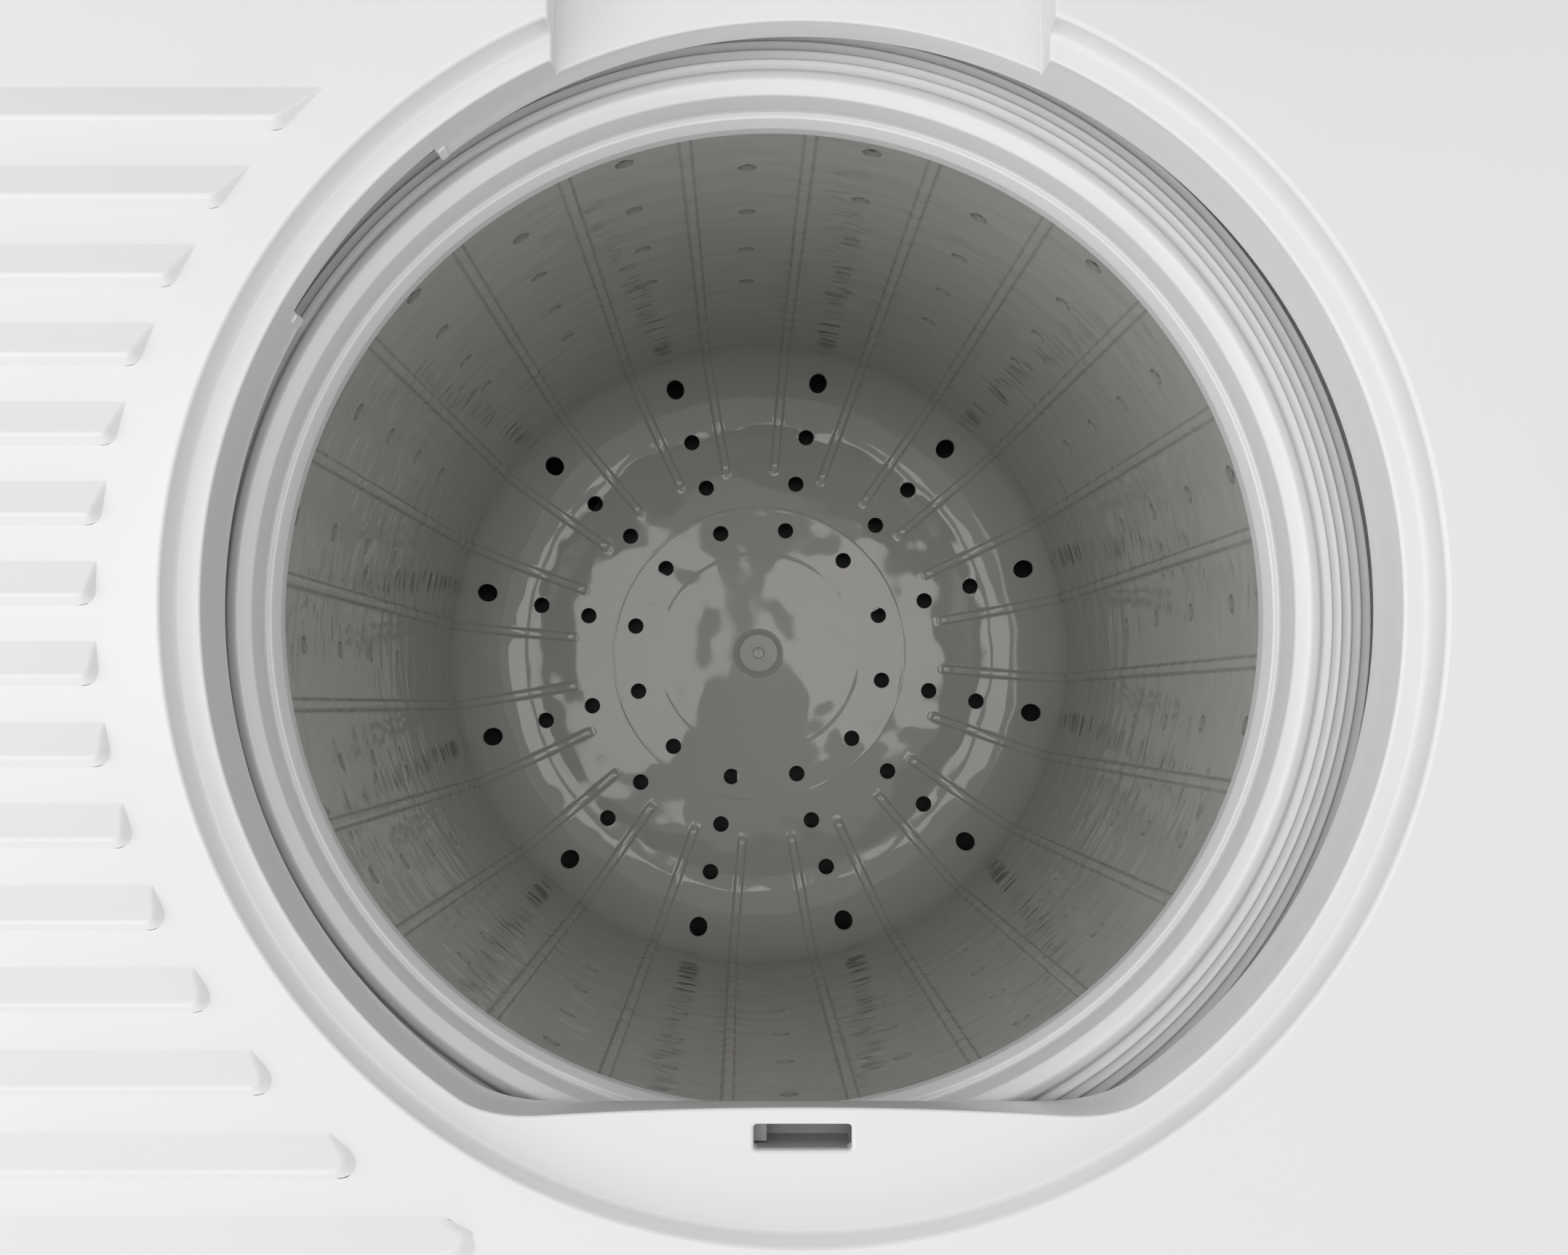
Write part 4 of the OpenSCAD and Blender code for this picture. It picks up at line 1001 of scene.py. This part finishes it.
def make_knob(joint, node, r, height):
    """A fluted knob with a dished face, a pointer line and a stem."""
    shape = Shape()
    count = FLUTES * FLUTE_STEPS
    profile = rounded([(r - 1.2, 1.6, 0), (r, 1.9, 0.5), (r, 4.6, 0.8), (r * 0.86, 5.2, 0.8),
                       (r * 0.8, 5.6, 0.8), (r * 0.74, height - 1.6, 0.5), (r * 0.7, height, 1.4),
                       (r * 0.6, height, 0.6),
                       (r * 0.5, height - 0.7, 1.5), (0.0, height - 0.9, 0)], 4)
    loops = []
    for radius, z in profile:
        grip = 1.0 if 6.0 < z < height - 1.0 and radius > r * 0.68 else 0.0
        loop = []
        for i in range(count):
            a = 2 * math.pi * i / count
            rr = max(radius - grip * FLUTE_DEPTH * max(math.cos(a * FLUTES), 0.0) ** 2, 0.001)
            loop.append((rr * math.cos(a), rr * math.sin(a), z))
        loops.append(loop)
    shape.loft(loops)
    make_pointer(shape, r, height)
    rows = shape.loft([circle(STEM_R, z, 24) for z in (2.0, -17.0)])
    shape.faces.append(tuple(reversed(rows[1])))
    knob = clean(shape.made(node + "_moulding", Vector((0, 0, 0))))
    place = Matrix.Translation(JOINTS[joint]["pos_m"]) @ face_matrix(joint)
    knob.data.transform(place)
    return finish_piece(knob, "knob", JOINTS[joint]["child"], (node,), 40.0)


def make_dial_marks(joint, r, first, last, count):
    """Short raised marks round a knob, with the longer ones at the ends."""
    shape = Shape()
    for i in range(count):
        a = math.radians(first + (last - first) * i / (count - 1))
        out = Vector((math.sin(a), math.cos(a), 0))
        side = Vector((math.cos(a), -math.sin(a), 0))
        length = 4.2 if i in (0, count - 1) else 2.6
        loops = []
        for z, shrink in ((-0.05, 0.0), (0.22, 0.0), (0.3, 0.08)):
            w = 0.45 - shrink
            corners = [(-w, r), (w, r), (w, r + length), (-w, r + length)]
            loops.append([tuple(side * x + out * y + Vector((0, 0, z))) for x, y in corners])
        rows = shape.loft(loops)
        shape.faces.append(tuple(rows[-1]))
    marks = clean(shape.made(joint + "_marks", Vector((0, 0, 0))))
    marks.data.transform(Matrix.Translation(JOINTS[joint]["pos_m"]) @ face_matrix(joint))
    return finish_piece(marks, "mark", "cabinet", (), 40.0, False)


# Suspension and bellows ------------------------------------------------------------
WIRE_R = 1.6
COIL_R = 12.6
ROD_R = 4.0
COILS = 9
COIL_STEPS = 28
WIRE_STEPS = 10
WIRE_FIT = 0.99
CLOSED_SHARE = 0.1
CLOSED_RISE = 3.2


def make_coil(shape, x, y, low, high):
    """One spring: a wire coil with its first and last turns closed up."""
    loops = []
    count = COILS * COIL_STEPS
    open_rise = high - low - 2 * WIRE_R - CLOSED_RISE
    for i in range(count + 1):
        t = i / count
        ease = min(max((t - CLOSED_SHARE) / (1 - 2 * CLOSED_SHARE), 0.0), 1.0)
        ends = min(t, CLOSED_SHARE) + max(t - 1 + CLOSED_SHARE, 0)
        a = 2 * math.pi * COILS * t
        z = low + WIRE_R + open_rise * ease + CLOSED_RISE * ends / (2 * CLOSED_SHARE)
        ring = []
        for s in range(WIRE_STEPS):
            p = 2 * math.pi * s / WIRE_STEPS
            r = COIL_R - WIRE_R + WIRE_R * math.cos(p) * WIRE_FIT
            ring.append((x + r * math.cos(a), y + r * math.sin(a), z + WIRE_R * math.sin(p) * WIRE_FIT))
        loops.append(ring)
    rows = shape.loft(loops)
    shape.faces.append(tuple(rows[0]))
    shape.faces.append(tuple(reversed(rows[-1])))


def make_springs():
    """The four suspension springs, set round the rods and as tall as the springs' box in the frame."""
    lo, hi = box_mm("suspension_springs")
    rod_lo, rod_hi = box_mm("suspension_rods")
    shape = Shape()
    for x in (rod_lo.x + ROD_R, rod_hi.x - ROD_R):
        for y in (rod_lo.y + ROD_R, rod_hi.y - ROD_R):
            make_coil(shape, x, y, lo.z, hi.z)
    springs = clean(shape.made("suspension_coils", Vector((0, 0, 0))))
    finish_piece(springs, "steel", "cabinet", ("suspension_springs",), 60.0, False)
    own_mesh(springs)


BELLOWS_WALL = 2.5
BELLOWS_DEPTH = 4.5
FOLDS = 8
FOLD_STEPS = 12


def make_bellows():
    """The folded rubber sleeve between the tub's sump and the pump."""
    lo, hi = box_mm("sump_bellows")
    trough_r = (hi.x - lo.x) / 2 - BELLOWS_DEPTH
    rise = hi.z - lo.z
    count = FOLDS * FOLD_STEPS
    outside = []
    for i in range(count + 1):
        wave = 0.5 - 0.5 * math.cos(2 * math.pi * i / FOLD_STEPS)
        outside.append((trough_r + BELLOWS_DEPTH * wave, rise * i / count))
    inside = [(r - BELLOWS_WALL, z) for r, z in reversed(outside)]
    centre = Vector(((lo.x + hi.x) / 2, (lo.y + hi.y) / 2, lo.z))
    bellows = revolve("bellows_sleeve", outside + inside, centre, 96, True)
    finish_piece(bellows, "rubber", "cabinet", ("sump_bellows",), 60.0, False)
    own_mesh(bellows)


# CAD nodes that stay, with the material each one gets ------------------------------
KEPT = {
    "enamel": ("cabinet_shell",),
    "zinc": ("rear_panel", "corner_brackets", "motor_bracket"),
    "base": ("base_frame",),
    "rubber": ("rear_feet", "foot_front_left", "foot_front_right", "shaft_seal", "drive_belt", "cable_gland"),
    "steel": ("suspension_rods", "lid_hinge_pins", "upper_bearing", "lower_bearing", "housing_bolts",
              "spin_shaft", "motor_shaft", "rear_panel_screws"),
    "nylon": ("rod_seats", "timer_control", "selector_switch", "pressure_switch", "start_switch"),
    "grey": ("spring_cups", "brake_solenoid", "drain_pump", "drain_outlet"),
    # painted shade: housing and plunger share the mid grey that stands for the shade inside the latch slot
    "pocket": ("lid_switch_housing", "lid_switch_plunger"),
    "rim": ("tub_ring",),
    "deck": ("console_housing",),
    "lid": ("lid_hook",),
    "fascia": ("console_fascia",),
    "trim": ("dial_trims",),
    "lens": ("indicator_lens",),
    "key": ("start_button",),
    "pad": ("lid_bumpers", "lid_rest_bumpers"),
    "tub": ("outer_tub", "fill_chute", "pump_impeller"),
    "cast": ("bearing_housing", "drive_hub", "spin_pulley", "motor_pulley"),
    "motor": ("drive_motor",),
    "lining": ("brake_shoe",),
    "can": ("run_capacitor",),
    "valve": ("inlet_valve",),
}


def dress_kept_nodes():
    """Gives every CAD node that stays in view its material."""
    for material, nodes in KEPT.items():
        for node in nodes:
            slots = frame["nodes"][node].material_slots
            for entry in slots:
                entry.material = MAT[material]


# Stage ---------------------------------------------------------------------------
CAMERA_OVER_DECK = 385.8
CAMERA_OFFSET = (-15.3, -28.2)
CAMERA_TILT = 2.87
CAMERA_LENS = 35.38
CAMERA_SHIFT = 0.0268


def make_camera():
    """Looks down into the opening, tipped slightly towards the console."""
    data = bpy.data.cameras.new("camera")
    data.sensor_width = 36.0
    data.lens = CAMERA_LENS
    data.shift_x = CAMERA_SHIFT
    data.clip_start = 0.01
    camera = bpy.data.objects.new("camera", data)
    camera.location = (OPENING + Vector((*CAMERA_OFFSET, CAMERA_OVER_DECK))) * MM
    camera.rotation_euler = (math.radians(CAMERA_TILT), 0.0, 0.0)
    bpy.context.scene.collection.objects.link(camera)
    bpy.context.scene.camera = camera


def area_light(name, place, target, size, power, colour):
    """A soft box at a place, turned to a target."""
    data = bpy.data.lights.new(name, "AREA")
    data.shape = "RECTANGLE"
    data.size, data.size_y = size
    data.energy = power
    data.color = colour
    light = bpy.data.objects.new(name, data)
    light.location = place
    light.rotation_euler = (Vector(target) - Vector(place)).to_track_quat("-Z", "Y").to_euler()
    bpy.context.scene.collection.objects.link(light)


FLOOR_REACH = 6.0
WORLD_STRENGTH = 0.65
WHITE = (1.0, 1.0, 1.0)
WARM_WHITE = (1.0, 0.985, 0.96)
# Name, place, target, size, power and colour of each soft box. The two overhead ones leave a gap, so
# the basket floor mirrors a bright patch on either side and a darker middle.
LIGHTS = (
    ("overhead_left", (-0.5, 0.1, 2.7), (0.0, 0.0, 0.7), (0.5, 0.9), 3.6, WARM_WHITE),
    ("overhead_right", (0.48, 0.16, 2.7), (0.0, 0.0, 0.7), (0.42, 0.8), 2.9, WARM_WHITE),
    ("key_left", (-1.05, -0.1, 1.45), (0, 0, 0.69), (0.9, 1.0), 4.0, WHITE),
    ("front_fill", (-0.6, -2.2, 1.7), (0, 0, 0.5), (1.8, 1.4), 10.0, (1.0, 0.99, 0.97)),
)


def make_floor():
    mesh = bpy.data.meshes.new("floor")
    corners = [(x * FLOOR_REACH, y * FLOOR_REACH, 0) for x, y in ((-1, -1), (1, -1), (1, 1), (-1, 1))]
    mesh.from_pydata(corners, [], [(0, 1, 2, 3)])
    floor = bpy.data.objects.new("floor", mesh)
    bpy.context.scene.collection.objects.link(floor)
    mesh.materials.append(surface("floor_pale", (0.78, 0.78, 0.77), 0.01, (0.7, 0.8), 200, 0.00002))


def make_stage():
    """A pale floor, an even white world and the soft boxes."""
    make_floor()
    world = bpy.data.worlds.new("studio")
    world.use_nodes = True
    background = world.node_tree.nodes["Background"]
    background.inputs["Color"].default_value = (*WHITE, 1)
    background.inputs["Strength"].default_value = WORLD_STRENGTH
    bpy.context.scene.world = world
    for light in LIGHTS:
        area_light(*light)
    bpy.context.scene.view_settings.view_transform = "Standard"


# Joint, knob's node, knob's radius and height, and the marks' radius, first and last angle and count.
DIALS = (
    ("timer_turn", "timer_knob", 28.0, 21.0, 35.2, -150, 150, 16),
    ("selector_turn", "selector_knob", 22.0, 19.0, 29.2, -60, 60, 5),
    ("level_turn", "level_knob", 22.0, 19.0, 29.2, -90, 90, 7),
)


def main():
    dress_kept_nodes()
    make_deck()
    make_basket()
    make_balance_ring()
    make_hub_cap()
    make_lid()
    for joint, node, radius, height, *_ in DIALS:
        make_knob(joint, node, radius, height)
    for joint, _, _, _, *marks in DIALS:
        make_dial_marks(joint, *marks)
    make_springs()
    make_bellows()
    make_stage()
    make_camera()


main()
